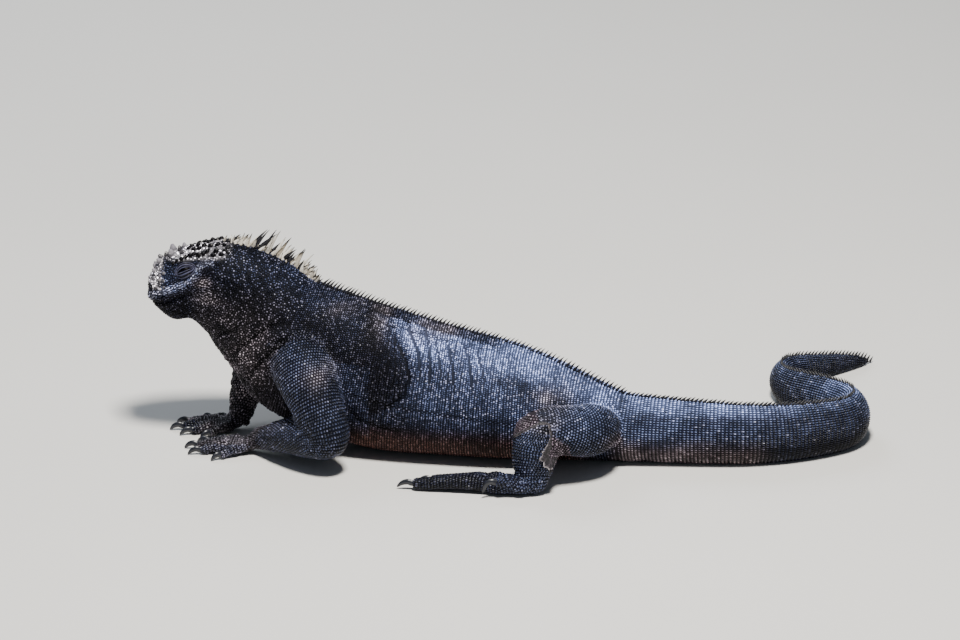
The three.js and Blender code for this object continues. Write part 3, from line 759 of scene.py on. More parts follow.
def dropped(roots, reach=4.0, agree=0.35):
    """Moves roots onto the skin and leaves out those that another form covers."""
    keep, place, out = [], [], []
    for i, (p, n) in enumerate(zip(roots["place"], roots["out"])):
        spot, _, face, _ = skin_tree.find_nearest(Vector(p), reach)
        if spot is None:
            continue
        corners = skin_faces[face]
        weights = [1 / ((spot - Vector(skin_points[c])).length + 0.05) for c in corners]
        normal = sum((skin_normals[c] * w for c, w in zip(corners, weights)), np.zeros(3))
        normal /= np.linalg.norm(normal)
        if normal @ n > agree:
            keep.append(i)
            place.append(spot)
            out.append(normal)
    return chosen_roots(roots, keep) | {"place": np.array(place), "out": np.array(out)}


def apart(roots, taken=None, share=0.55):
    """Leaves out roots that stand on an earlier one. Cells of a coarse grid keep the search short."""
    cell = 3.0
    neighbours = [(dx, dy, dz) for dx in (-1, 0, 1) for dy in (-1, 0, 1) for dz in (-1, 0, 1)]
    grid = {} if taken is None else taken
    keep = []
    for i, (p, size) in enumerate(zip(roots["place"], roots["size"])):
        room = (share * size.min()) ** 2
        a, b, c = (p // cell).astype(int)
        near = (q for dx, dy, dz in neighbours for q in grid.get((a + dx, b + dy, c + dz), ()))
        if all((p[0] - q[0]) ** 2 + (p[1] - q[1]) ** 2 + (p[2] - q[2]) ** 2 > room for q in near):
            grid.setdefault((a, b, c), []).append(p)
            keep.append(i)
    return chosen_roots(roots, keep), grid


# %% Limbs and tail
# spacing along and round, and what the count in a ring divides by
LIMB_SPACING = {"digit": (2.3, 2.0, 1), "palm": (2.1, 2.0, 9), "upper": (2.0, 2.3, 9), "lower": (2.0, 2.3, 9)}
TAIL_MIDDLE, TAIL_REAR = trunk.row(20), trunk.row(40)
TAIL_PITCH = [[VENT, 2.2], [TAIL_MIDDLE, 2.7], [TAIL_REAR, 2.8], [1, 2.0]]
TAIL_WIDTH = [[VENT, 1.75], [TAIL_MIDDLE, 1.85], [TAIL_REAR, 1.8], [1, 1.4]]
TAIL_SCALES_END = 0.997


def from_table(table):
    places, values = np.array(table).T
    return lambda t: np.interp(t, places, values)


taken = None
coat = {}
for form_name, (form, start, end) in forms.items():
    for part, (long, wide, steps) in LIMB_SPACING.items():
        if part in form_name:
            roots = ring_roots(form, start, end, lambda t: long, lambda t: wide, True, lambda t: 0.1, steps)
            coat[form_name], taken = apart(dropped(roots, 3.0), taken)
tail = (from_table(TAIL_PITCH), from_table(TAIL_WIDTH), False, lambda t: 0.04, 6)
coat["tail"], taken = apart(dropped(ring_roots(trunk, VENT, TAIL_SCALES_END, *tail)), taken)
print("scales on limbs and tail:", sum(len(part["t"]) for part in coat.values()))

# %% Flank, back and belly
# Granules stand in upright rows, finest on the flank behind the shoulder.
SCATTER_TO = trunk.row(9.6)
BODY_PITCH = [[SCATTER_TO, 1.8], [trunk.row(11), 1.8], [trunk.row(14), 2.0], [VENT, 2.25]]
BODY_WIDTH = [[SCATTER_TO, 1.7], [trunk.row(11), 1.6], [trunk.row(14), 1.6], [VENT, 1.75]]
BODY_JITTER = [[SCATTER_TO, 0.3], [trunk.row(12), 0.24], [trunk.row(15), 0.08], [VENT, 0.05]]
FACES_DOWN = -0.93

body = (from_table(BODY_PITCH), from_table(BODY_WIDTH), True, from_table(BODY_JITTER), 12)
body = ring_roots(trunk, SCATTER_TO, VENT, *body)
# the side that rests on the floor needs only half of them
body = chosen_roots(body, (body["out"][:, 2] > FACES_DOWN) | (np.arange(len(body["t"])) % 2 == 0))
coat["body"], taken = apart(dropped(body), taken)
print("granules on the body:", len(coat["body"]["t"]))

# %% A scatter of granules
CROWN_LINE_Z = 146
CROWN_BACK_X = -208


def along_skin(direction, out):
    """A direction laid flat on the skin."""
    return unit(direction - out * (direction * out).sum(1)[:, None])


def free_roots(place, out, back, size):
    """Roots that follow no form. back is the way their scales point."""
    unused = np.zeros(len(place))
    back = along_skin(np.tile(back, (len(place), 1)), out)
    roots = {"place": place, "out": out, "back": back, "t": unused, "angle": unused}
    return roots | {"size": np.repeat(size[:, None], 2, axis=1)}


def scattered(inside, spacing, seed, tries):
    """Random roots on a part of the skin, each with its own size."""
    chance = np.random.default_rng(seed)
    faces = np.array([f for f in range(len(skin_faces)) if inside[skin_faces[f][0]]])
    corners = np.array([(skin_faces[f] + skin_faces[f][:1])[:4] for f in faces])
    quads = skin_points[corners]
    area = np.linalg.norm(np.cross(quads[:, 2] - quads[:, 0], quads[:, 3] - quads[:, 1]), axis=1)
    picks = chance.choice(len(faces), tries, p=area / area.sum())
    across, down = chance.uniform(size=(2, tries, 1))
    weights = np.hstack([(1 - across) * (1 - down), across * (1 - down), across * down, (1 - across) * down])
    place = (quads[picks] * weights[:, :, None]).sum(1)
    out = unit((skin_normals[corners[picks]] * weights[:, :, None]).sum(1))
    return free_roots(place, out, [1.0, 0, -0.15], spacing(place))


def crown_height(points):
    """Height above the line over the eyes where the crown's horny cones begin."""
    return points[:, 2] - (CROWN_LINE_Z + 0.1 * (points[:, 0] + 240))


def head_spacing(place):
    """Millimetres between granules: closer on the face, wider on the crown, which has cones."""
    crown = np.clip(crown_height(place) / 5 + 0.6, 0, 1) * (place[:, 0] < CROWN_BACK_X)
    face = np.clip((-215 - place[:, 0]) / 10, 0, 1)
    return 1.6 - 0.15 * face + 0.7 * crown


x, _, z = (skin_points - trunk.frames(SCATTER_TO)[0][0]).T
on_neck = (x - 0.33 * z < -1) & (skin_points[:, 0] < -150)
head = scattered(on_neck, head_spacing, 5, 100000)
head = chosen_roots(head, from_eye(head["place"]) > 6.2)
print("tries on head and neck:", len(head["t"]))

# %% Long scales of cheek and lip
# Those on the cheek fan out from the corner of the mouth, others run along the upper lip.
FAN_CORNER = [-236.0, 127.0]
LONG_LINES = [[LIP_BAND, [0.9, 0, 0.43]], [TEMPLE, [0.72, 0, 0.69]]]
LONG_SCALE = [1.7, 0.85]


def long_scales(place):
    """Which roots carry long scales, and the direction of each."""
    flat = place[:, [0, 2]] - FAN_CORNER
    reach = np.linalg.norm(flat, axis=1)
    chosen = (reach > 3) & (reach < 18) & (flat[:, 0] > 1.5) & (np.abs(flat[:, 1]) < 11)
    direction = np.column_stack([flat[:, 0], np.zeros(len(flat)), flat[:, 1]])
    for line, run in LONG_LINES:
        distance, share = line_distance(place, line)
        near = (np.abs(distance) < 3) & (share > 0.02) & (share < 0.98)
        direction[near] = run
        chosen |= near
    return chosen, direction


chosen, direction = long_scales(head["place"])
head["back"][chosen] = along_skin(direction, head["out"])[chosen]
head, taken = apart(head, taken, 0.92)
chosen, _ = long_scales(head["place"])
head["size"][chosen] *= LONG_SCALE
coat["head"] = head
print("granules on head and neck:", len(head["t"]), "of them long:", int(chosen.sum()))

# %% [markdown]
# ## Tones of the hide
# The animal is charcoal, blue-grey on flank and tail with a painted sheen high up, dusty brown on
# neck and cheek, rusty below, and lilac-white on crown and snout, with a dull old skin on one knee;
# painted shade darkens its grooves and hollows. One could paint these by hand on the skin and again
# on the scales. Here functions of the place give each point a share of every tone, so that skin and
# scales always agree. The finishes mix their colours from the shares.

# %% Places of the tones
# In side view: the old skin's torn edge, the back's outline, and z and x of the fold behind the arm.
# The hind legs begin at an x and a distance from the middle.
OLD_EDGE = [[8, 36], [13, 42.5], [19, 48], [25, 51.5], [31, 54.5], [37, 53.5], [39, 46], [37.5, 39]]
OLD_EDGE += [[35, 33], [36, 27], [40.5, 24], [41, 6]]
BACK_LINE = [[-200, 153], [-180, 146], [-160, 136.5], [-143, 124], [-126, 115], [-88, 104]]
BACK_LINE += [[-43, 93], [0, 83], [35, 70], [62, 58], [82, 51], [250, 42]]
ARM_FOLD = [[30, -104], [40, -100], [48.6, -84], [57, -74], [70, -71], [84, -76], [95.2, -85], [106, -92]]
LEG_FROM = [[0, 48], [35, 42], [55, 32], [66, 26], [84, 24]]
# dust on the hide: place, how far it reaches along and up, and how dense it is
DUST = [[[-96, 104], [6, 10], 0.5], [[-58, 95], [18, 5], 0.55], [[-122, 110], [10, 4], 0.3]]
DUST += [[[33, 56], [13, 7], 0.45], [[-136, 74], [10, 7], 0.35]]
DUST += [[[-220, 119], [10, 6.5], 0.36], [[-226, 131], [6.5, 3.4], 0.46]]


def smoothstep(x):
    x = np.clip(x, 0, 1)
    return x * x * (3 - 2 * x)


def read_table(x, table):
    places, values = np.array(table).T
    return np.interp(x, places, values)


def on_band(points, line, width, fades, front_of):
    """A band of the head along a line, faded out at its ends."""
    distance, share = line_distance(points, line)
    return hump(distance, width) * ends(share, *fades) * (points[:, 0] < front_of)


print("old skin edge:", round(walked_along(np.array(OLD_EDGE))[-1]), "mm, dust spots:", len(DUST))

# %% Cool blue-grey and painted sheen
LEG_TONE = 0.12
NECK_TONE = 0.02


def cool_and_sheen_tone(points, up, height):
    """Blue-grey and painted sheen: strong high on flank and tail, faint on limbs and neck, bands on lip and
    temple.
    """
    x, y, z = points.T
    fold_at = read_table(z, ARM_FOLD)
    sharp = 0.75 * smoothstep((110 - z) / 24)
    behind = (1 - sharp) * smoothstep((x + 108) / 46) + sharp * smoothstep((x - fold_at + 5) / 18)
    # painted sheen: flank and tail grow lighter with height, as under light from above
    painted_sheen_by_height = 0.32 * smoothstep((height - 0.2) / 0.5) + 0.86 * smoothstep((height - 0.76) / 0.17)
    cool_and_sheen = behind * (0.04 + painted_sheen_by_height)
    ridge = smoothstep((10.5 - np.abs(y)) / 2.5) * smoothstep((5 - x) / 22)
    cool_and_sheen = cool_and_sheen * (1 - 0.85 * ridge * smoothstep((height - 0.85) / 0.05))
    # the tail is brightest past its root, duller where it starts to bend, and bright again in the curl
    cool_and_sheen = cool_and_sheen * (1 + 0.6 * hump(x - 112, 40))
    tail_bend = smoothstep((x - 205) / 20)
    cool_and_sheen = cool_and_sheen * (1 - tail_bend * (0.45 * smoothstep((60 - y) / 20) - 0.8 * smoothstep((y - 60) / 20)))
    # painted sheen: the legs grow lighter higher up
    leg = (np.abs(y) > read_table(x, LEG_FROM)) & (x > 0) & (x < 84)
    cool_and_sheen = np.where(leg, LEG_TONE + 0.12 * smoothstep((z - 30) / 25), cool_and_sheen)
    arm = (np.abs(y) > 40) & (x < -100)
    cool_and_sheen = np.where(arm, LEG_TONE, cool_and_sheen)
    # painted sheen on the neck: lighter on faces turned up and along the nape
    nape_sheen = smoothstep((height - 0.82) / 0.14) * smoothstep((-100 - x) / 20) * smoothstep((x + 222) / 12)
    upper = smoothstep(up * 1.2 - 0.1) * smoothstep((x + 200) / 60)
    cool_and_sheen = np.maximum(cool_and_sheen, NECK_TONE + 0.015 * upper + 0.055 * nape_sheen)
    # painted sheen on the rolls of lip and temple
    for line, width in ((LIP_BAND, 2.8), (TEMPLE, 2.1)):
        cool_and_sheen = np.maximum(cool_and_sheen, 0.42 * on_band(points, line, width, (0.02, 0.08), -214))
    # a faint blue-grey ring round the eye, and in front of it a spot of painted light on a face turned from
    # the lamps
    round_eye = hump(np.maximum(from_eye(points) - 9, 0), 3) * (x < -218)
    return np.max([cool_and_sheen, 0.1 * round_eye, 0.24 * hump(x + 253, 6) * hump(z - 131, 8)], axis=0)


# %% Warm dust and rust


def under_tail(points, up):
    x, y, _ = points.T
    return smoothstep((0.12 - up) / 0.5) * smoothstep((x - 70) / 16) * smoothstep((200 - x) / 30) * (y < 50)


def warm_tone(points, up):
    """Dust in spots, on throat and neck and under the tail; brown on the far arm, raised there as painted
    light.
    """
    x, y, z = points.T
    throat = smoothstep((100 - z + 0.5 * (x + 205)) / 24) * smoothstep((-168 - x) / 16)
    throat = throat * smoothstep((z - 44) / 20)
    neck = smoothstep((-150 - x) / 40) * smoothstep((132 - z) / 30) * smoothstep((x + 236) / 12)
    # the far arm is brown, and made lighter still as painted light where it lies in shade
    far_arm_brown_and_light = smoothstep((y - 4) / 10) * smoothstep((-176 - x) / 10) * smoothstep((70 - z) / 10)
    spots = [amount * oval(x, z, place, reach) for place, reach, amount in DUST]
    return np.max([*spots, 0.42 * throat, 0.2 * neck, 0.6 * far_arm_brown_and_light, 0.5 * under_tail(points, up)], axis=0)


def rust_tone(points, up):
    """Red-brown along the belly and under the tail's root."""
    x, y, z = points.T
    below = smoothstep((36 - z) / 20) * smoothstep((x + 125) / 15) * smoothstep((70 - x) / 30)
    return np.maximum(0.8 * below * (np.abs(y) < 60), 0.35 * under_tail(points, up))


# %% Pale crown, old skin and shade
TORN_CORNER = [35, 49.5]
ARM_HOLLOW = [-100, 70]
DEEPEST = -2.9


def pale_tone(points):
    x, _, z = points.T
    crown = smoothstep(crown_height(points) / 3.5 + 1.0) * smoothstep((-204 - x) / 10)
    crown = crown * (1 - 0.4 * smoothstep((x + 232) / 12))
    snout = smoothstep((-254 - x) / 7) * smoothstep((z - 120) / 6)
    pale = np.maximum(crown, 0.95 * snout)
    # painted sheen: pale bands on the rolls of lip and temple
    for line, width in ((LIP_BAND, 2.8), (TEMPLE, 2.0)):
        pale = np.maximum(pale, 0.12 * on_band(points, line, width, (0.02, 0.05), -216))
    return pale


def shade_tone(points, left_leg):
    """Dark in the grooves, in the hollow behind the arm and under the torn skin's upper corner."""
    x, y, z = points.T
    shade = 0.42 * oval(x, z, ARM_HOLLOW, [17, 24]) * (np.abs(y) < 50)
    for line, depth, width in FOLDS:
        if depth < 0:
            distance, share = line_distance(points, line)
            groove = min(0.8, depth / DEEPEST) * hump(distance, width * 0.9) * ends(share, 0.15, 0.2)
            shade = np.maximum(shade, groove * (np.abs(y) < 50))
    return np.maximum(shade, 1.1 * oval(x, z, TORN_CORNER, [3.4, 2.8]) * left_leg)


def tones(points, normals):
    """Shares of each tone at points of the surface, in millimetres."""
    x, y, z = points.T
    up = np.clip(normals[:, 2], -1, 1)
    height = z / read_table(x, BACK_LINE)
    left_leg = (y < -50) & (x > 4) & (x < 52) & (z < 68)
    distance, _ = line_distance(points, OLD_EDGE)
    old = smoothstep(distance / 1.4 + 0.5) * smoothstep((88 - x - z) / 4) * left_leg
    return {
        "cool_and_sheen": cool_and_sheen_tone(points, up, height),
        "warm": warm_tone(points, up),
        "rust": rust_tone(points, up),
        "pale": pale_tone(points),
        "old": old,
        "shade": shade_tone(points, left_leg),
    }


for tone, values in tones(skin_points, skin_normals).items():
    print(tone, "covers", round(100 * float((values > 0.1).mean())), "% of the skin")

# %% [markdown]
# ## A coat of joined scales
# Thousands of separate objects would be slow and heavy, so all scales of a region become one mesh:
# the modelled scale is repeated at every root, turned to lie back along the body, and varied in
# size and tilt. Each copy carries its root's tones, a lucky number that the finish reads, and how
# high each of its points rises. A flat map gives every scale a small patch, in the order in which
# the scales lie along and round the form.

# %% One mesh from many copies
BAKE_PATCH = 0.003
MIDDLE_LUCK = 0.55
LOWEST = 0.1


def mesh_of(name, points, triangles):
    """A mesh object from points in millimetres and triangles, shaded smooth."""
    mesh = bpy.data.meshes.new(name)
    mesh.vertices.add(len(points))
    mesh.vertices.foreach_set("co", (points * MM).astype(np.float32).ravel())
    mesh.loops.add(triangles.size)
    mesh.loops.foreach_set("vertex_index", triangles.astype(np.int32).ravel())
    mesh.polygons.add(len(triangles))
    mesh.polygons.foreach_set("loop_start", np.arange(0, triangles.size, 3, dtype=np.int32))
    mesh.polygons.foreach_set("use_smooth", np.ones(len(triangles), bool))
    mesh.update()
    piece = bpy.data.objects.new(name, mesh)
    bpy.context.scene.collection.objects.link(piece)
    return piece


def repeated(triangles, corners, count):
    """The triangles of one shape for each of its copies."""
    return (triangles[None] + (np.arange(count) * corners)[:, None, None]).reshape(-1, 3)


def mark(piece, name, values):
    """A value for each vertex, which the materials read."""
    attribute = piece.data.attributes.new(name, "FLOAT", "POINT")
    attribute.data.foreach_set("value", np.asarray(values, np.float32))


def bake_map(piece, spots, triangles):
    """Each scale as a small patch at its root's place on a flat map of the skin."""
    uv = piece.data.uv_layers.new(name="OFBake")
    uv.data.foreach_set("uv", spots[triangles.ravel()].astype(np.float32).ravel())


def laid(name, roots, template, height, cover, sink=0.12, variety=0.25, tilt=0.2, luck=(0, 0.95), calm=0):
    """One scale on every root, each tilted a little, joined into one piece with tones and bake map."""
    shape, triangles = template
    count, corners = len(roots["place"]), len(shape)
    chance = np.random.default_rng(len(name) * 31 + count)
    side = unit(np.cross(roots["out"], roots["back"]))
    along = unit(np.cross(side, roots["out"]))
    lean = chance.normal(0, tilt, (count, 2)).clip(-0.5, 0.5)
    out = unit(roots["out"] + along * lean[:, :1] + side * lean[:, 1:])
    side = unit(np.cross(out, along))
    along = np.cross(side, out)
    vary = 1 + variety * chance.uniform(-0.5, 0.5, (count, 3))
    long = (roots["size"][:, 0] * cover[0] / 2 * vary[:, 0])[:, None, None]
    wide = (roots["size"][:, 1] * cover[1] / 2 * vary[:, 1])[:, None, None]
    tall = (np.ravel(height) * np.ones(count) * vary[:, 2])[:, None, None]
    points = (
        (roots["place"] - out * sink)[:, None, :]
        + along[:, None, :] * (shape[:, 0][None, :, None] * long)
        + side[:, None, :] * (shape[:, 1][None, :, None] * wide)
        + out[:, None, :] * (shape[:, 2][None, :, None] * tall)
    )
    points = points.reshape(-1, 3)
    points[:, 2] = np.maximum(points[:, 2], LOWEST)
    joined = repeated(triangles, corners, count)
    piece = mesh_of(name, points, joined)
    for tone, values in tones(roots["place"], roots["out"]).items():
        mark(piece, tone, np.repeat(values, corners))
    lucky = chance.uniform(0, 1, count) > 0.95
    marks = np.where(lucky, chance.uniform(0.95, 1, count), chance.uniform(*luck, count))
    marks = marks + (MIDDLE_LUCK - marks) * calm
    mark(piece, "luck", np.repeat(marks, corners))
    mark(piece, "rise", np.tile(np.clip(shape[:, 2], 0, 1), count))
    spots = roots["uv"][:, None, :] + shape[None, :, :2] * BAKE_PATCH / 2
    bake_map(piece, spots.reshape(-1, 2), joined)
    print(name, len(piece.data.polygons), "triangles")
    return piece


# %% Flat maps of the roots
# x of three places of head and neck, with y and z of the body's middle there
MIDDLE_X = [-270, -209, -150]
MIDDLE_Y = [-11.2, -3.2, 0]
MIDDLE_Z = [116, 111, 68]


def unwrap(roots, low, high):
    """Each root's place on a flat map of the skin: along the form, and round it."""
    u = 0.01 + 0.98 * (roots["t"] - roots["t"].min()) / max(1e-9, np.ptp(roots["t"]))
    v = low + (high - low) * (roots["angle"] + math.pi) / (2 * math.pi)
    roots["uv"] = np.column_stack([u, v])


def unwrap_head(roots):
    """The head's sides opened like a book along the back: length across, distance from the ridge up."""
    x, y, z = roots["place"].T
    round_ = np.arctan2(y - np.interp(x, MIDDLE_X, MIDDLE_Y), z - np.interp(x, MIDDLE_X, MIDDLE_Z))
    roots["uv"] = np.column_stack([0.02 + (x - MIDDLE_X[0]) * 0.0078, 0.5 + 0.47 * round_ / math.pi])


unwrap(coat["body"], 0.01, 0.99)
unwrap(coat["tail"], 0.01, 0.99)
unwrap_head(coat["head"])
limb_names = [key for key in coat if key not in ("body", "tail", "head")]
for index, key in enumerate(limb_names):
    unwrap(coat[key], index / len(limb_names) + 0.002, (index + 0.9) / len(limb_names))
print("maps for", len(coat), "tables of roots")

# %% Coat of the body
body, tail, head = coat["body"], coat["tail"], coat["head"]
coat_pieces = []
body_middle, tail_middle = trunk.row(12.4), np.median(tail["t"])
for side_name, hand in SIDES.items():
    on_side = np.sign(body["angle"]) == hand
    for part_name, part, cover in (
        ("chest", body["t"] < body_middle, (1.0, 1.04)),
        ("belly", body["t"] >= body_middle, (0.86, 1.16)),
    ):
        roots = chosen_roots(body, on_side & part)
        coat_pieces.append(laid(f"granules_{part_name}_{side_name}", roots, granule, 0.8, cover))
for part_name, part in (("root", tail["t"] < tail_middle), ("tip", tail["t"] >= tail_middle)):
    looks = {"sink": 0.12, "variety": 0.14, "tilt": 0.07, "luck": (0.35, 0.75)}
    name, roots = f"scales_tail_{part_name}", chosen_roots(tail, part)
    coat_pieces.append(laid(name, roots, keeled, 1.0, (1.12, 0.94), **looks))
for side_name, hand in SIDES.items():
    roots = chosen_roots(head, hand * (head["uv"][:, 1] - 0.5) > 0)
    x, _, z = roots["place"].T
    face = smoothstep((-214 - x) / 8) * smoothstep((x + 256) / 6) * smoothstep((z - 114) / 6)
    face *= 1 - smoothstep(crown_height(roots["place"]) / 3 + 0.7)
    name = f"granules_head_{side_name}"
    coat_pieces.append(laid(name, roots, bead, 0.7, (1.08, 1.02), variety=0.4, calm=0.5 * face))

# %% Coat of the limbs
groups = {"scales_arms": [], "scales_legs": [], "scales_hands": [], "scales_feet": []}
heights = {"scales_arms": 0.75, "scales_legs": 0.75, "scales_hands": 0.5, "scales_feet": 0.5}
for key in limb_names:
    if "digit" in key or "palm" in key:
        groups["scales_hands" if "arm" in key else "scales_feet"].append(coat[key])
    else:
        groups["scales_arms" if "arm" in key else "scales_legs"].append(coat[key])
for name, parts in groups.items():
    roots = {key: np.concatenate([part[key] for part in parts]) for key in parts[0]}
    coat_pieces.append(laid(name, roots, rhomb, heights[name], (1.15, 0.98), tilt=0.14, luck=(0.25, 0.8)))

# %% [markdown]
# ## Crest
# A row of flattened horny spines runs from the nape to the tail's tip: long, straw-coloured and
# black-tipped on the neck, short and dark behind. Each is a thin blade that curves back.
# One blade is modelled, then copied with its own height, lean and twist.

# %% Blades along the back
# at rows of the trunk: height of the spines
CREST_HEIGHTS = [[6.3, 4], [6.6, 8], [7, 12], [7.3, 19], [7.5, 23], [8, 23], [8.3, 19], [8.6, 16]]
CREST_HEIGHTS += [[8.9, 18], [9.15, 17], [9.4, 12], [9.7, 9.5], [10.3, 8.6], [13, 8], [15, 7.4], [17, 6.4]]
CREST_ROOT = 1.5
CREST_SINK = 0.7
SWAY = 11


def modelled_cone(vertices, tip, cuts, belly):
    """A cone with rings cut into it, swollen in the middle."""
    nothing_selected()
    bpy.ops.mesh.primitive_cone_add(vertices=vertices, radius1=1, radius2=tip, depth=1, location=(0, 0, 0.5))
    bpy.ops.object.transform_apply()
    bpy.ops.object.mode_set(mode="EDIT")
    for height in cuts:
        bpy.ops.mesh.select_all(action="SELECT")
        bpy.ops.mesh.bisect(plane_co=(0, 0, height), plane_no=(0, 0, 1))
    bpy.ops.object.mode_set(mode="OBJECT")
    points, triangles = arrays_of(bpy.context.object)
    points[:, :2] *= (1 + belly * np.sin(np.clip(points[:, 2], 0, 1) * math.pi))[:, None]
    return points, triangles


blade = modelled_cone(8, 0.1, (0.12, 0.27, 0.42, 0.57, 0.72, 0.87), 0.4)


def spines(name, run, spacing, height_at, girth, lean_by, seed, dark_share, wild):
    """Blades along a run of the trunk. girth is half the length and the thickness at the root."""
    chance = np.random.default_rng(seed)
    shares, walked = trunk.lengths(4000)
    first, last = np.interp(run, shares, walked)
    shape, triangles = blade
    rise = np.clip(shape[:, 2], 0, 1)
    at, points, marks, spots = first, [], [], []
    while at < last:
        t = np.array([np.interp(at, walked, shares)])
        _, along, side, _, _ = trunk.frames(t)
        top = trunk.point(t, np.array([0.0]), -CREST_SINK)[0] + side[0] * chance.uniform(-0.5, 0.5) * wild
        high = height_at(t[0]) * (1 - 0.4 * wild * chance.uniform())
        lean = math.radians(lean_by + wild * chance.uniform(-SWAY, SWAY))
        splay = math.radians(wild * chance.uniform(-SWAY, SWAY))
        up = np.array(UP) * math.cos(lean) + along[0] * math.sin(lean)
        up = unit(up * math.cos(splay) + side[0] * math.sin(splay))
        ahead = unit(np.cross(side[0], up))
        across = np.cross(up, ahead)
        tall = shape[:, 2] * (high + CREST_ROOT) - CREST_ROOT
        bend = (0.12 + 0.08 * chance.uniform()) * high * rise**2
        long = girth[0] * chance.uniform(0.85, 1.15)
        place = top + ahead * (shape[:, :1] * long + bend[:, None]) + across * shape[:, 1:2] * girth[1]
        points.append(place + up * tall[:, None])
        luck = chance.uniform()
        dark = 1.0 if dark_share == 1 else float(chance.uniform() < dark_share)
        marks.append(np.column_stack([rise, np.full(len(shape), luck), np.full(len(shape), dark)]))
        spots.append([0.01 + 0.98 * (at - first) / (last - first), 0.5] + shape[:, :2] * BAKE_PATCH / 2)
        at += spacing * (1 + 0.25 * wild * chance.uniform(-0.5, 0.5))
    joined = repeated(triangles, len(shape), len(points))
    piece = mesh_of(name, np.vstack(points), joined)
    for tone, values in zip(("rise", "luck", "dark"), np.vstack(marks).T):
        mark(piece, tone, values)
    bake_map(piece, np.vstack(spots), joined)
    print(name, len(points), "spines")
    return piece


crest_height = from_table([[trunk.row(row), height] for row, height in CREST_HEIGHTS])
neck = (trunk.row(6.3), trunk.row(9.95))
back = (trunk.row(10.1), VENT)
crest_pieces = [
    spines("crest_neck", neck, 1.8, crest_height, (1.5, 0.75), 29, 3, 0.3, 1.3),
    # short pale cones crowd the roots of the long ones
    spines("crest_neck_cones", neck, 0.75, lambda t: 9.0, (1.1, 0.7), 27, 8, 0.2, 2.2),
    spines("crest_back", back, 2.95, crest_height, (1.08, 0.65), 33, 4, 1, 0.3),
    spines("crest_tail", (VENT, 0.988), 3.15, lambda t: 5.9 - 1.9 * t, (1.25, 0.65), 38, 5, 1, 0.3),
]

# %% [markdown]
# ## Crown, brows and snout
# Blunt horny cones crowd the crown, a row of dark beads lines each brow, and the largest horns
# stand on forehead and snout. Each is the same waisted cone, cut from a primitive and then laid
# like a scale. The small ones are scattered; beads and horns have places of their own.

# %% Crown tubercles
CROWN_SPACING = 2.8
EYE_CLEAR, HORN_CLEAR, BROW_CLEAR = 9, 3.6, 3
FREE_RUN = 60.0
OVER_HEAD = 220


def crown_spacing(place):
    rear = np.clip((place[:, 0] + 250) / 22, 0, 1) * np.clip((-206 - place[:, 0]) / 10, 0, 1)
    return CROWN_SPACING + 1.9 * rear


crown_zone = (crown_height(skin_points) > 0.5) & (skin_points[:, 0] < CROWN_BACK_X)
snout_zone = (skin_points[:, 0] < -254) & (skin_points[:, 2] > 123)
crown = scattered(crown_zone | snout_zone, crown_spacing, 17, 9000)
crown = chosen_roots(crown, from_eye(crown["place"]) > EYE_CLEAR)
crown, _ = apart(crown, None, 1.02)

# a row of dark beads along each brow
brow_rows = []
for hand in SIDES.values():
    for share in np.linspace(0.04, 0.98, 8):
        line = np.array(BROW)
        walked = walked_along(line)
        x, z = (np.interp(share * walked[-1], walked, line[:, i]) for i in (0, 1))
        place, normal, _, _ = skin_tree.ray_cast(Vector((x, hand * FREE_RUN, z)), Vector((0, -hand, 0)))
        brow_rows.append([*place, *normal, 3.4 + 1.2 * share])

# place seen from above, width
HORNS = [[-249.5, -3, 6.6], [-249.5, 3.4, 6.6], [-258, -2.6, 5.2], [-258, 2.6, 5.2], [-244, 0, 4.8]]
HORNS += [[-254, 0, 4.6], [-242, -6, 4.2], [-242, 6, 4.2], [-262, 0, 4.4], [-262, -5, 3.8], [-262, 5, 3.8]]
horn_rows = []
for x, aside, width in HORNS:
    t = np.interp(x, [-263.5, -235], [trunk.row(2), trunk.row(5)])
    above = Vector((x, trunk.frames(t)[0][0, 1] + aside, OVER_HEAD))
    place, normal, _, _ = skin_tree.ray_cast(above, Vector((0, 0, -1)))
    horn_rows.append([*place, *normal, width])


def placed_roots(rows, back):
    rows = np.array(rows)
    return free_roots(rows[:, :3], unit(rows[:, 3:6]), back, rows[:, 6])


def nearest(roots, others):
    return np.linalg.norm(roots["place"][:, None, :] - others["place"][None], axis=2).min(1)


brow_beads = placed_roots(brow_rows, [1.0, 0, 0.2])
horns = placed_roots(horn_rows, [1.0, 0, 0.0])
crown = chosen_roots(crown, (nearest(crown, horns) > HORN_CLEAR) & (nearest(crown, brow_beads) > BROW_CLEAR))
for roots in (crown, brow_beads, horns):
    unwrap_head(roots)
cone = modelled_cone(7, 0.4, (0.25, 0.5, 0.75), 0.45)
cone[0][:, 0] += 0.25 * cone[0][:, 2] ** 2

# %% Cones, beads and horns as pieces
FRONT_PALE_SHARE = 0.3
big = crown_spacing(crown["place"]) - CROWN_SPACING
crown_cones = laid("crown_tubercles", crown, cone, 1.4 + 0.9 * big, (0.9, 0.9), 0.3, 0.3, 0.2)
brow_cones = laid("brow_tubercles", brow_beads, cone, 2.3, (0.9, 0.9), 0.1, 0.2)
snout_horns = laid("snout_horns", horns, cone, horns["size"][:, :1] * 0.95, (0.82, 0.82), 0.4, 0.2, 0.1)
front_tone = np.where(np.random.default_rng(41).uniform(size=len(big)) < FRONT_PALE_SHARE, 0.25, 0.8)
mark(snout_horns, "dark", np.full(len(snout_horns.data.vertices), 0.7))
mark(crown_cones, "dark", np.repeat(np.clip(front_tone + big, 0, 1), len(cone[0])))
mark(brow_cones, "dark", np.ones(len(brow_cones.data.vertices)))

# %% [markdown]
# ## Eyes and lids
# The animal dozes: the eye is a narrow slit, tilted up to the rear, between lids that wrinkle in
# rings round it. The eyeball sits deep in the head. The lids are a bowl with an
# almond opening, its rings of folds pressed in as the grid is laid.

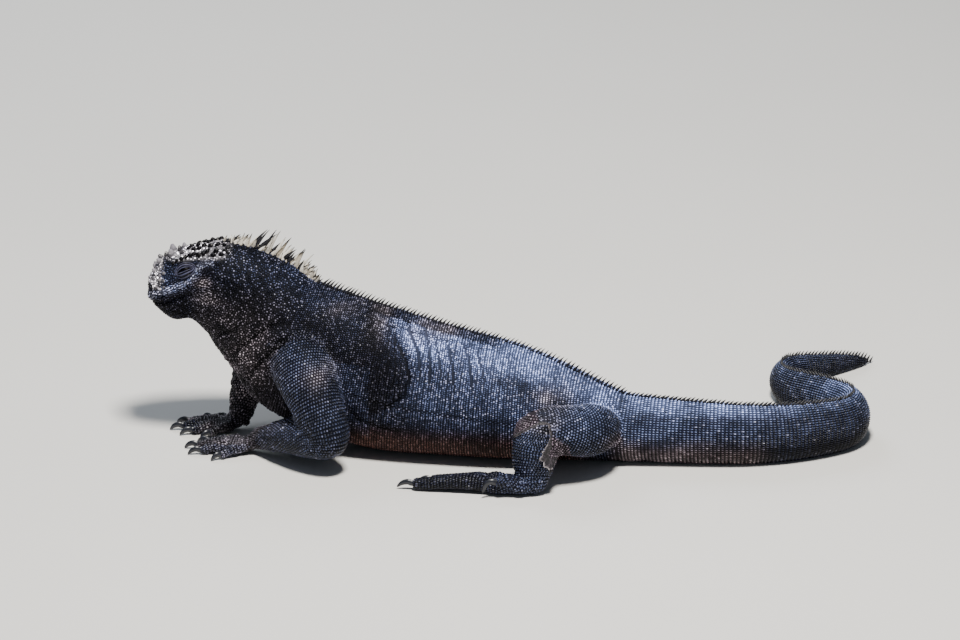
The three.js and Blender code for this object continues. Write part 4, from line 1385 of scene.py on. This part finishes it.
# %% Where the lids sit
EYE_RADIUS = 6
EYE_DEPTH = 3.2
SLIT_TILT = 27


def surface_spot(x, z, hand):
    """The trunk's surface at an x and a z in side view: place and outward direction."""
    t = np.linspace(trunk.row(2), trunk.row(9), 500)
    angle = np.linspace(0.15, math.pi - 0.15, 240) * hand
    t, angle = (grid.ravel() for grid in np.meshgrid(t, angle))
    places = trunk.point(t, angle)
    best = np.argmin(np.hypot(places[:, 0] - x, places[:, 2] - z))
    return places[best], trunk.normal(t[best : best + 1], angle[best : best + 1])[0]


def lid_axes(hand):
    """The eyeball's centre, and the directions out of the head, along the slit and across it."""
    place, out = surface_spot(*EYE, hand)
    tilt = math.radians(SLIT_TILT)
    rear = unit(np.array([math.cos(tilt), 0, math.sin(tilt)]))
    rear = unit(rear - out * (rear @ out))
    up = np.cross(rear, out)
    return place - out * EYE_DEPTH, out, rear, up * np.sign(up[2])


print("left eyeball's centre:", [round(float(v), 1) for v in lid_axes(SIDES["left"])[0]])

# %% Lids
LID_RINGS, LID_ROUND = 48, 96
SLIT_LENGTH, SLIT_HEIGHT = 6.0, 1.3
LID_LENGTH, LID_HEIGHT = 8.3, 6.4
LID_BULGE = 3.3
LID_THICKNESS = 0.5
FOLD_COUNT = 2.5
FOLD_DEPTH = 0.6
LID_GAP = 0.35


def lid_grid(hand):
    """Lids that rise from the skin over the eyeball, with an almond slit, folded in rings round it."""
    centre, out, rear, up = lid_axes(hand)
    points, crests = [], []
    for i in range(LID_RINGS + 1):
        s = i / LID_RINGS
        for j in range(LID_ROUND):
            a = 2 * math.pi * j / LID_ROUND
            ca, sa = math.cos(a), math.sin(a)
            slit = np.array([SLIT_LENGTH * ca, SLIT_HEIGHT * sa * abs(sa) ** 0.5 - 0.3 * ca * ca])
            outer = np.array([LID_LENGTH * ca, LID_HEIGHT * sa])
            flat = slit + (outer - slit) * s
            above = centre + rear * flat[0] + up * flat[1] + out * 20
            base = (np.array(skin_tree.ray_cast(Vector(above), Vector(-out))[0]) - centre) @ out
            bulge = LID_BULGE * math.exp(-((math.hypot(flat[0] / 1.1, flat[1] / 0.97) / 4.5) ** 2))
            ripple = s * FOLD_COUNT + 0.05 * math.sin(3 * a + hand) + 0.02 * math.sin(7 * a)
            crest = math.cos(2 * math.pi * ripple)
            crests.append((0.5 + 0.5 * crest) ** 3 * (1 - 0.5 * s * s))
            over_eye = math.sqrt(max(0, (EYE_RADIUS + LID_GAP) ** 2 - flat @ flat))
            depth = max(base + bulge, over_eye) + FOLD_DEPTH * crest * (1 - 0.3 * s)
            depth -= 0.3 * math.exp(-((s / 0.06) ** 2)) + 0.9 * s**6
            points.append(centre + rear * flat[0] + up * flat[1] + out * depth)
    return np.array(points), crests


def sheet(name, points, faces, rise, thickness):
    """A thin sheet from points in millimetres, made solid, with its faces outward."""
    mesh = bpy.data.meshes.new(name)
    mesh.from_pydata([tuple(p * MM) for p in points], [], faces)
    piece = bpy.data.objects.new(name, mesh)
    bpy.context.scene.collection.objects.link(piece)
    mark(piece, "rise", rise)
    applied(piece, "SOLIDIFY", thickness=thickness * MM, offset=0)
    faces_outward(piece)
    bpy.ops.object.shade_smooth()
    return piece


lid_faces = []
for i in range(LID_RINGS):
    for j in range(LID_ROUND):
        a, b = i * LID_ROUND + j, i * LID_ROUND + (j + 1) % LID_ROUND
        lid_faces.append((a, b, b + LID_ROUND, a + LID_ROUND))
print("faces in the lids' grid:", len(lid_faces))

# %% Lids and eyeballs as pieces


def eyeball(name, hand):
    """A ball whose pole looks out of the head, marked with how far each point faces that way."""
    centre, out, rear, up = lid_axes(hand)
    nothing_selected()
    bpy.ops.mesh.primitive_uv_sphere_add(segments=48, ring_count=24, radius=EYE_RADIUS * MM)
    eye = bpy.context.object
    eye.name = name
    turn = np.column_stack([-hand * rear, up, out])
    set_points(eye, points_of(eye) @ turn.T + centre * MM)
    mark(eye, "gaze", unit(points_of(eye) - centre * MM) @ out)
    bpy.ops.object.shade_smooth()
    return eye


lid_pieces, eye_pieces = [], []
for side_name, hand in SIDES.items():
    grid, crests = lid_grid(hand)
    lid_pieces.append(sheet(f"lids_{side_name}", grid, lid_faces, crests, LID_THICKNESS))
    eye_pieces.append(eyeball(f"eyeball_{side_name}", hand))
print("lids:", [len(lids.data.polygons) for lids in lid_pieces], "eyeballs:", len(eye_pieces))

# %% [markdown]
# ## Claws
# Each digit ends in a curved claw, a hollow cone of horn over the last bone, flattened at the
# sides. A claw could be a bent cone, but the digits' own line already runs on to its tip, so the
# same ring-by-ring sphere that made the digits lies along the rest of that line.

# %% Claws
claw_pieces = []
for key, horn in claw_forms.items():
    side_name, kind, number = key.split("_")
    end_name = {"arm": "hand", "leg": "foot"}[kind]
    claw = tube(f"claw_{side_name}_{end_name}_{number}", horn, horn.row(CLAW_FROM - 0.6), 1, 18, 14, 0)
    points = points_of(claw)
    points[:, 2] = np.maximum(points[:, 2], LOWEST * MM)
    set_points(claw, points)
    bpy.ops.object.shade_smooth()
    claw_pieces.append((claw, f"{side_name}_{end_name}_claw_{number}"))
print("claws:", len(claw_pieces))

# %% [markdown]
# ## Skin about to be shed
# On the left knee and shank an old dull layer of skin is coming off. It ends in a torn edge
# that stands away from the leg: a ribbon laid along the edge, its rows dropped onto the
# skin and lifted more and more towards the tear.

# %% The torn edge
# across the edge, and lift off the skin
FLAP_ROWS = [[-3.2, 0.1], [-1.6, 0.7], [0, 1.1], [1.0, 1.6], [1.7, 2.0]]
FLAP_HANGS_FROM = 0.52
FLAP_STEP = 0.6
FLAP_THICKNESS = 0.35
FLAP_GAP = 4
LEG_SIDE_Y = -48
EVENED = 4


def flap_points():
    """Rows of points across the torn edge, in their order along it."""
    line = np.array(OLD_EDGE, float)
    walked = walked_along(line)
    samples = np.arange(0, walked[-1], FLAP_STEP)
    middle = np.column_stack([np.interp(samples, walked, line[:, i]) for i in (0, 1)])
    for _ in range(EVENED):
        middle[1:-1] = (middle[:-2] + 2 * middle[1:-1] + middle[2:]) / 4
    run = unit(np.gradient(middle, axis=0))
    fresh_side = np.column_stack([run[:, 1], -run[:, 0]])
    tear = np.random.default_rng(23).uniform(-1, 1, len(samples))
    tear = 0.5 * tear + 0.5 * np.convolve(tear, np.ones(5) / 3, "same")
    grid = []
    for i in range(len(middle)):
        hanging = smoothstep((i / len(samples) - FLAP_HANGS_FROM) / 0.12)
        ragged = (1 + 0.55 * tear[i]) * (0.2 + 1.75 * hanging)
        row = []
        for across, lift in FLAP_ROWS:
            reach = across * (ragged if across > 0 else 0.35 + 0.65 * hanging)
            x, z = middle[i] + fresh_side[i] * reach
            place, normal, _, _ = skin_tree.ray_cast(Vector((x, -2 * FREE_RUN, z)), Vector((0, 1, 0)))
            if place is None or place.y > LEG_SIDE_Y:
                break
            row.append(np.array(place) + np.array(normal) * lift * (ragged if across > 0 else 1))
        else:
            grid.append(row)
    return np.array(grid)


grid = flap_points()
length, width = grid.shape[:2]
faces = []
for i in range(length - 1):
    if np.linalg.norm(grid[i + 1, 2] - grid[i, 2]) < FLAP_GAP:
        for a in range(i * width, i * width + width - 1):
            faces.append((a, a + 1, a + width + 1, a + width))
rise = np.tile(np.linspace(0, 1, width), length)
flap = sheet("old_skin_edge", grid.reshape(-1, 3), faces, rise, FLAP_THICKNESS)
print("torn edge:", len(flap.data.polygons), "faces")

# %% [markdown]
# ## Finishes
# The hide is keratin over dark skin: charcoal with a blue-grey tone and a painted sheen, dusty brown
# patches on shoulder and flank, a red-brown underside, and dry salt in light specks, with painted
# shade in its grooves. Skin and scales share one recipe for the markings, read from their place on
# the body, so that a scale never differs from the skin under it.

# %% Colours and nodes
# A colour mix takes its share and its two colours at sockets 0, 6 and 7.
SOCKETS = {"Mix": (0, 6, 7)}
OUTPUTS = {"Mix": 2, "Attribute": "Fac", "TexCoord": "Object"}
SETTINGS = {"Mix": {"data_type": "RGBA"}, "Math": {"operation": "MULTIPLY"}}


def linear(code):
    """An sRGB hex value as the linear colour that shaders take."""
    parts = [int(code[i : i + 2], 16) / 255 for i in (1, 3, 5)]
    return tuple([p / 12.92 if p <= 0.04045 else ((p + 0.055) / 1.055) ** 2.4 for p in parts] + [1.0])


def per_metre(width):
    """How many cells of a pattern a metre holds, from the width of one in millimetres."""
    return float(round(1000 / width))


def add(tree, kind, *values, stops=(), **named):
    """Adds one node. Values fill its sockets in order, and names are sockets or settings of it."""
    node = tree.nodes.new("ShaderNode" + kind)
    sockets = dict(zip(SOCKETS.get(kind, range(len(values))), values))
    for name, value in (SETTINGS.get(kind, {}) | named).items():
        socket = name.replace("_", " ")
        if socket in node.inputs:
            sockets[socket] = value
        else:
            setattr(node, name, value)
    for name, value in sockets.items():
        if isinstance(value, bpy.types.NodeSocket):
            tree.links.new(value, node.inputs[name])
        else:
            node.inputs[name].default_value = value
    for number, (place, grey) in enumerate(stops):
        elements = node.color_ramp.elements
        element = elements[number] if number < len(elements) else elements.new(place)
        element.position = place
        element.color = (grey, grey, grey, 1)
    return node.outputs[OUTPUTS.get(kind, 0)]


def new_material(name, **values):
    material = bpy.data.materials.new(name)
    material.use_nodes = True
    shader = material.node_tree.nodes["Principled BSDF"]
    for socket, value in values.items():
        shader.inputs[socket.replace("_", " ")].default_value = value
    return material, material.node_tree, shader


def surfaced(tree, shader, colour, height=None, strength=0.0, depth=0.0):
    """Links the colour to the shader, and a height in millimetres as its bump."""
    tree.links.new(colour, shader.inputs["Base Color"])
    if height is not None:
        bump = add(tree, "Bump", Height=height, Strength=strength, Distance=depth * MM)
        tree.links.new(bump, shader.inputs["Normal"])


print("a neutral grey in linear light:", round(linear("#808080")[0], 3))

# %% Markings shared by skin and scales
CHARCOAL = linear("#0a0910")
SALT = linear("#e6e3de")
# the blue-grey colour stands for the hide's own tone and for a painted sheen on it
TONE_COLOURS = {"cool_and_sheen": "#7482b0", "warm": "#81777c", "rust": "#3f2a24", "pale": "#e8e4ee", "old": "#453c44"}
# how wide the clouds and patches of pigment and the web between the crown's cones are, in mm
CLOUD, PATCH, WEB = 35.7, 13.33, 3.03


def scaled(tree, colour, amount):
    """A colour made lighter or darker by a value."""
    grey = add(tree, "CombineColor", amount, amount, amount)
    return add(tree, "Mix", 1.0, colour, grey, blend_type="MULTIPLY")


def markings(tree):
    """The hide's colour from the tones at each place, broken up by clouds, patches and a web, with painted
    shade.
    """
    place = add(tree, "TexCoord")
    cloud = add(tree, "TexNoise", place, Scale=per_metre(CLOUD), Detail=4.0, Roughness=0.6)
    patch = add(tree, "TexNoise", place, Scale=per_metre(PATCH), Detail=4.0, Roughness=0.65)
    web = add(tree, "TexNoise", place, Scale=per_metre(WEB), Detail=2.0)
    broken = {
        "cool_and_sheen": add(tree, "ValToRGB", cloud, stops=[(0.3, 0.3), (0.66, 1)]),
        "warm": add(tree, "ValToRGB", patch, stops=[(0.34, 0.2), (0.66, 1)]),
        "pale": add(tree, "ValToRGB", web, stops=[(0.39, 0.1), (0.5, 1)]),
    }
    colour = CHARCOAL
    for tone, code in TONE_COLOURS.items():
        share = add(tree, "Attribute", attribute_name=tone)
        if tone in broken:
            share = add(tree, "Math", share, broken[tone])
        colour = add(tree, "Mix", share, colour, linear(code))
    shade = add(tree, "Attribute", attribute_name="shade")
    return place, patch, scaled(tree, colour, add(tree, "MapRange", shade, To_Min=1.0, To_Max=0.3))


# %% Skin
# Dark and dull, because it shows only in the gaps between the scales: its colour is scaled down as
# painted shade. Its grain is drawn 1.4 mm wide, coarser than the real one, so that it shows at all.
GRAIN = 1.4286

hide, tree, shader = new_material("keratin_hide", Roughness=0.6, Specular_IOR_Level=0.06)
place, _, colour = markings(tree)
grain = add(tree, "TexVoronoi", place, Scale=per_metre(GRAIN))
surfaced(tree, shader, scaled(tree, colour, 0.28), grain, 0.4, 0.3)
print(hide.name, len(tree.nodes), "nodes")

# %% [markdown]
# ## Horn of the scales
# A scale is a plate of horn, dark at its root and light on top: partly wear, partly painted shade
# between the scales and a painted highlight on each top. Grown horn is never even, so each scale has
# its own share of colour; some also get a painted glint, and dry salt lies on a few in clusters. One
# could paint every scale, but chance does it as well: the lucky number on each scale drives all
# three. Real salt grains are far finer than a pixel, so these are drawn 0.8 mm wide to show.

# %% Scales
# a painted highlight: the light colour that stands for sun glinting on some scales
PAINTED_GLINT = linear("#98939f")
CRUMB, FINE = 0.7692, 0.625
# dark roots are painted shade between the scales; light tops are partly wear and partly a painted highlight
PEAK_WEAR_AND_HIGHLIGHT_STOPS = [(0.0, 0.02), (0.66, 0.14), (1.0, 1.0)]
PEAK_WEAR_AND_HIGHLIGHT_GAIN = 4.2


def scale_material(name, roughness, gloss, fairness, painted_glint, salt):
    """Horny scales, each with its own share of colour, painted glint and salt."""
    material, tree, shader = new_material(name, Roughness=roughness, Specular_IOR_Level=gloss)
    place, patch, colour = markings(tree)
    luck, rise, cool_and_sheen = (add(tree, "Attribute", attribute_name=tone) for tone in ("luck", "rise", "cool_and_sheen"))
    squared = add(tree, "Math", luck, luck)
    fair = add(tree, "MapRange", squared, To_Min=fairness[0], To_Max=fairness[1])
    uneven = add(tree, "MapRange", patch, From_Min=0.35, From_Max=0.65, To_Min=0.5, To_Max=1.55)
    colour = scaled(tree, colour, add(tree, "Math", fair, uneven))
    # painted glints on lucky scales, stronger where the blue-grey and its painted sheen are
    lit = add(tree, "MapRange", cool_and_sheen, From_Max=0.4, To_Min=0.18)
    painted_glinting = add(tree, "ValToRGB", luck, stops=[(0.72, 0), (0.95, painted_glint)])
    painted_glinting = add(tree, "Math", painted_glinting, lit)
    colour = add(tree, "Mix", painted_glinting, colour, PAINTED_GLINT)
    # painted shade at the roots, and tops lighter from wear and from a painted highlight
    peak = add(tree, "ValToRGB", rise, stops=PEAK_WEAR_AND_HIGHLIGHT_STOPS)
    colour = scaled(tree, colour, add(tree, "Math", peak, PEAK_WEAR_AND_HIGHLIGHT_GAIN))
    # dry salt sits in clusters, on a few scales and on part of each
    clustered = add(tree, "Math", patch, 0.3, luck, operation="MULTIPLY_ADD")
    clustered = add(tree, "MapRange", clustered, From_Min=1.125, From_Max=1.15)
    crumbs = add(tree, "TexNoise", place, Scale=per_metre(CRUMB), Detail=1.0)
    crumbly = add(tree, "ValToRGB", crumbs, stops=[(0.48, 0), (0.58, salt)])
    topmost = add(tree, "ValToRGB", rise, stops=[(0.7, 0), (0.9, 1)])
    salted = add(tree, "Math", clustered, crumbly)
    # salt shows more where the blue-grey and its painted sheen are strong
    for share in (topmost, add(tree, "Math", lit, 0.25, operation="ADD")):
        salted = add(tree, "Math", salted, share)
    colour = add(tree, "Mix", salted, colour, SALT)
    fine = add(tree, "TexNoise", place, Scale=per_metre(FINE), Detail=2.0)
    surfaced(tree, shader, colour, fine, 0.3, 0.2)
    print(name, len(tree.nodes), "nodes")
    return material


# head and neck are dull, the flank is finer and drier, limbs and tail are polished by wear
neck_scales = scale_material("keratin_granules_neck", 0.34, 0.07, (0.2, 2.7), 0.4, 0.8)
flank_scales = scale_material("keratin_granules_flank", 0.3, 0.1, (0.42, 2.35), 0.3, 0.8)
limb_scales = scale_material("keratin_scales_limbs", 0.26, 0.22, (0.3, 2.4), 0.2, 0.9)

# %% [markdown]
# ## Horn of crest, crown, lids and claws
# All of these are keratin too, but grown thicker: the spines let light through and bleach to
# straw, the cones of the crown have pale rims and grains of salt between them, the lids are bare
# and wrinkled, old skin is dull and claws are polished by rock. Each gets a short recipe of its
# own, mostly a colour that changes with how high a point rises.

# %% Crest
# long spines are straw-coloured with black tips, the short ones behind are nearly black
crest_horn, tree, shader = new_material("crest_keratin", Roughness=0.42)
rise, luck, dark = (add(tree, "Attribute", attribute_name=tone) for tone in ("rise", "luck", "dark"))
tip_at = add(tree, "Math", luck, -0.35, rise, operation="MULTIPLY_ADD")
tipped = add(tree, "ValToRGB", tip_at, stops=[(0.5, 0), (0.75, 1)])
straw = add(tree, "Mix", luck, linear("#9c917f"), linear("#f4efe4"))
straw = add(tree, "Mix", tipped, straw, linear("#17130f"))
colour = add(tree, "Mix", dark, straw, linear("#15141a"))
surfaced(tree, shader, colour)
print(crest_horn.name, len(tree.nodes), "nodes")

# %% Crown
# horny cones: dark, with pale rims and dry grains between them, drawn as coarse as they need to show
GRAIN_OF_SALT = 2.381

tubercle_horn, tree, shader = new_material("crown_keratin", Roughness=0.4, Specular_IOR_Level=0.1)
rise, luck, dark = (add(tree, "Attribute", attribute_name=tone) for tone in ("rise", "luck", "dark"))
place = add(tree, "TexCoord")
crumbs = add(tree, "TexNoise", place, Scale=per_metre(GRAIN_OF_SALT), Detail=3.0)
rim = add(tree, "ValToRGB", rise, stops=[(0.14, 1), (0.32, 0)])
pale_rim = add(tree, "Mix", rim, linear("#08070b"), linear("#efebf2"))
top = add(tree, "ValToRGB", rise, stops=[(0.1, 0), (0.6, 1)])
pale_top = add(tree, "Mix", top, linear("#1c1b22"), linear("#dcd7e2"))
unlucky = add(tree, "ValToRGB", luck, stops=[(0.15, 0.85), (0.55, 0)])
pale_top = add(tree, "Mix", unlucky, pale_top, linear("#2a2930"))
colour = add(tree, "Mix", dark, pale_top, pale_rim)
crumbly = add(tree, "ValToRGB", crumbs, stops=[(0.6, 0), (0.68, 0.8)])
on_pale = add(tree, "ValToRGB", dark, stops=[(0.5, 1), (1, 0.15)])
crumbly = add(tree, "Math", crumbly, on_pale)
surfaced(tree, shader, add(tree, "Mix", crumbly, colour, SALT))
print(tubercle_horn.name, len(tree.nodes), "nodes")

# %% Lids
# bare and finely wrinkled, with painted shade in the furrows and painted light on the ridges
lid_hide, tree, shader = new_material("keratin_lids", Roughness=0.36, Specular_IOR_Level=0.12)
place, _, colour = markings(tree)
rise = add(tree, "Attribute", attribute_name="rise")
wrinkled = add(tree, "TexNoise", place, Scale=per_metre(GRAIN), Detail=3.0)
lit = add(tree, "MapRange", wrinkled, To_Min=0.4, To_Max=1.6)
furrow_shade_and_ridge_light = add(tree, "MapRange", rise, To_Min=0.02, To_Max=7.0)
colour = scaled(tree, colour, add(tree, "Math", lit, furrow_shade_and_ridge_light))
surfaced(tree, shader, colour, wrinkled, 0.5, 0.4)
print(lid_hide.name, len(tree.nodes), "nodes")

# %% Old skin
# dull, and paler where it has torn
FRAY, SPECK = 3.333, 1.538

shed_skin, tree, shader = new_material("shed_keratin", Roughness=0.7)
place = add(tree, "TexCoord")
rise = add(tree, "Attribute", attribute_name="rise")
crumbs = add(tree, "TexNoise", place, Scale=per_metre(FRAY), Detail=3.0)
torn = add(tree, "ValToRGB", rise, stops=[(0.82, 0), (0.97, 1)])
frayed = add(tree, "ValToRGB", crumbs, stops=[(0.35, 0.2), (0.6, 1)])
torn = add(tree, "Math", torn, frayed)
specks = add(tree, "TexVoronoi", place, Scale=per_metre(SPECK))
speckled = add(tree, "ValToRGB", specks, stops=[(0.1, 1), (0.6, 0)])
dull = add(tree, "Mix", speckled, linear("#131115"), linear("#4a4249"))
colour = add(tree, "Mix", torn, dull, linear("#aaa2a6"))
surfaced(tree, shader, colour, specks, 0.6, -0.5)
print(shed_skin.name, len(tree.nodes), "nodes")

# %% Claws and eyes
# claws are smooth dark horn with faint streaks, the eye a dark iris under a dull tear film
claw_horn, tree, shader = new_material("claw_keratin", Roughness=0.3)
place = add(tree, "TexCoord")
streak = add(tree, "TexNoise", place, Scale=per_metre(FRAY), Detail=3.0)
surfaced(tree, shader, add(tree, "Mix", streak, linear("#0f1014"), linear("#2c2e36")))

eye_gloss, tree, shader = new_material("cornea_and_iris", Roughness=0.4, Specular_IOR_Level=0.05)
gaze = add(tree, "Attribute", attribute_name="gaze")
pupil = add(tree, "ValToRGB", gaze, stops=[(0.93, 0), (0.95, 1)])
surfaced(tree, shader, add(tree, "Mix", pupil, linear("#070504"), linear("#020202")))
print("materials:", len(bpy.data.materials))

# %% [markdown]
# ## Pieces onto the frame
# A piece is only part of the model once it has its material and rides on the body. A finished
# piece also says which plain solids it stands for, so that they are hidden: the skin stands for
# all flesh, each claw for its own solid.

# %% Tones and places
LID_TONES = {"cool_and_sheen": 0.035, "warm": 0.04, "pale": 0}

flesh_nodes = [name for name in frame["nodes"] if "claw" not in name and not name.startswith("eye")]
for tone, values in tones(skin_points, skin_normals).items():
    mark(skin, tone, values)
for lids in lid_pieces:
    for tone, values in tones(points_of(lids) / MM, normals_of(lids)).items():
        mark(lids, tone, np.full(len(values), LID_TONES[tone]) if tone in LID_TONES else values)


def fitted(piece, material, slot, *nodes):
    piece.data.materials.clear()
    piece.data.materials.append(material)
    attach(piece, "root")
    if nodes:
        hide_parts(*nodes)


fitted(skin, hide, "skin", *flesh_nodes)
for piece in coat_pieces:
    if piece.name.startswith("scales"):
        fitted(piece, limb_scales, "skin")
    else:
        fitted(piece, neck_scales if "head" in piece.name else flank_scales, "skin")
for piece in crest_pieces:
    fitted(piece, crest_horn, "skin")
for piece in (crown_cones, brow_cones, snout_horns):
    fitted(piece, tubercle_horn, "skin")
fitted(flap, shed_skin, "skin")
for lids in lid_pieces:
    fitted(lids, lid_hide, "skin")
for eye, side_name in zip(eye_pieces, SIDES):
    fitted(eye, eye_gloss, "eye", f"eye_{side_name}")
for claw, node_name in claw_pieces:
    fitted(claw, claw_horn, "claw", node_name)
print("the skin stands for", len(flesh_nodes), "solids")

# %% [markdown]
# ## Floor, light and camera
# The floor is pale and plain. The key light is a small panel high above the left side, which
# gives the short, fairly crisp shadows of a high sun. A weaker, cool panel stands far off at the
# other side in front, and an even sky fills the shadows. The camera stands seven metres off with a
# long lens, above the animal and a little to its rear, as the picture was taken.

# %% Floor and sky
SKY_STRENGTH = 0.2
FIBRE = 333

nothing_selected()
bpy.ops.mesh.primitive_plane_add(size=14, location=(0, 0, 0))
floor = bpy.context.object
floor.name = "studio_floor"
paper, tree, shader = new_material("matt_paper", Roughness=0.9)
place = add(tree, "TexCoord")
fibre = add(tree, "TexNoise", place, Scale=per_metre(FIBRE), Detail=2.0)
surfaced(tree, shader, add(tree, "Mix", fibre, linear("#d4d2cd"), linear("#dcdad6")))
floor.data.materials.append(paper)

world = bpy.data.worlds.new("soft_sky")
world.use_nodes = True
sky = world.node_tree.nodes["Background"]
sky.inputs["Color"].default_value = linear("#cfdcf0")
sky.inputs["Strength"].default_value = SKY_STRENGTH
bpy.context.scene.world = world

# %% Light and camera
# where each panel stands and what it faces in metres, its size, power and colour
PANELS = {
    "key_panel": ((0.2, -0.7, 2.0), (-0.02, 0, 0.05), 0.35, 95, (1.0, 0.97, 0.92)),
    "rim_panel": ((-0.9, 1.3, 1.5), (0, 0, 0.05), 0.9, 18, (0.85, 0.92, 1.0)),
}
AZIMUTH = math.radians(8)
ELEVATION = math.radians(22)
DISTANCE = 7.0
AIM = Vector((-28.6, 32.0, 88.3)) * MM
FIELD = 0.706
SENSOR = 36


def placed(name, data, location, toward):
    """A lamp or camera at a place, turned to look one way."""
    thing = bpy.data.objects.new(name, data)
    thing.location = location
    thing.rotation_mode = "QUATERNION"
    thing.rotation_quaternion = toward.to_track_quat("-Z", "Y")
    bpy.context.scene.collection.objects.link(thing)
    return thing


for name, (location, target, size, power, colour) in PANELS.items():
    light = bpy.data.lights.new(name, "AREA")
    light.size = size
    light.energy = power
    light.color = colour
    placed(name, light, location, Vector(target) - Vector(location))

level = math.cos(ELEVATION)
toward = Vector((-math.sin(AZIMUTH) * level, math.cos(AZIMUTH) * level, -math.sin(ELEVATION)))
camera_data = bpy.data.cameras.new("camera")
camera_data.sensor_width = SENSOR
camera_data.lens = SENSOR * DISTANCE / FIELD
bpy.context.scene.camera = placed("camera", camera_data, AIM - toward * DISTANCE, toward)
print("lens:", round(camera_data.lens), "mm")
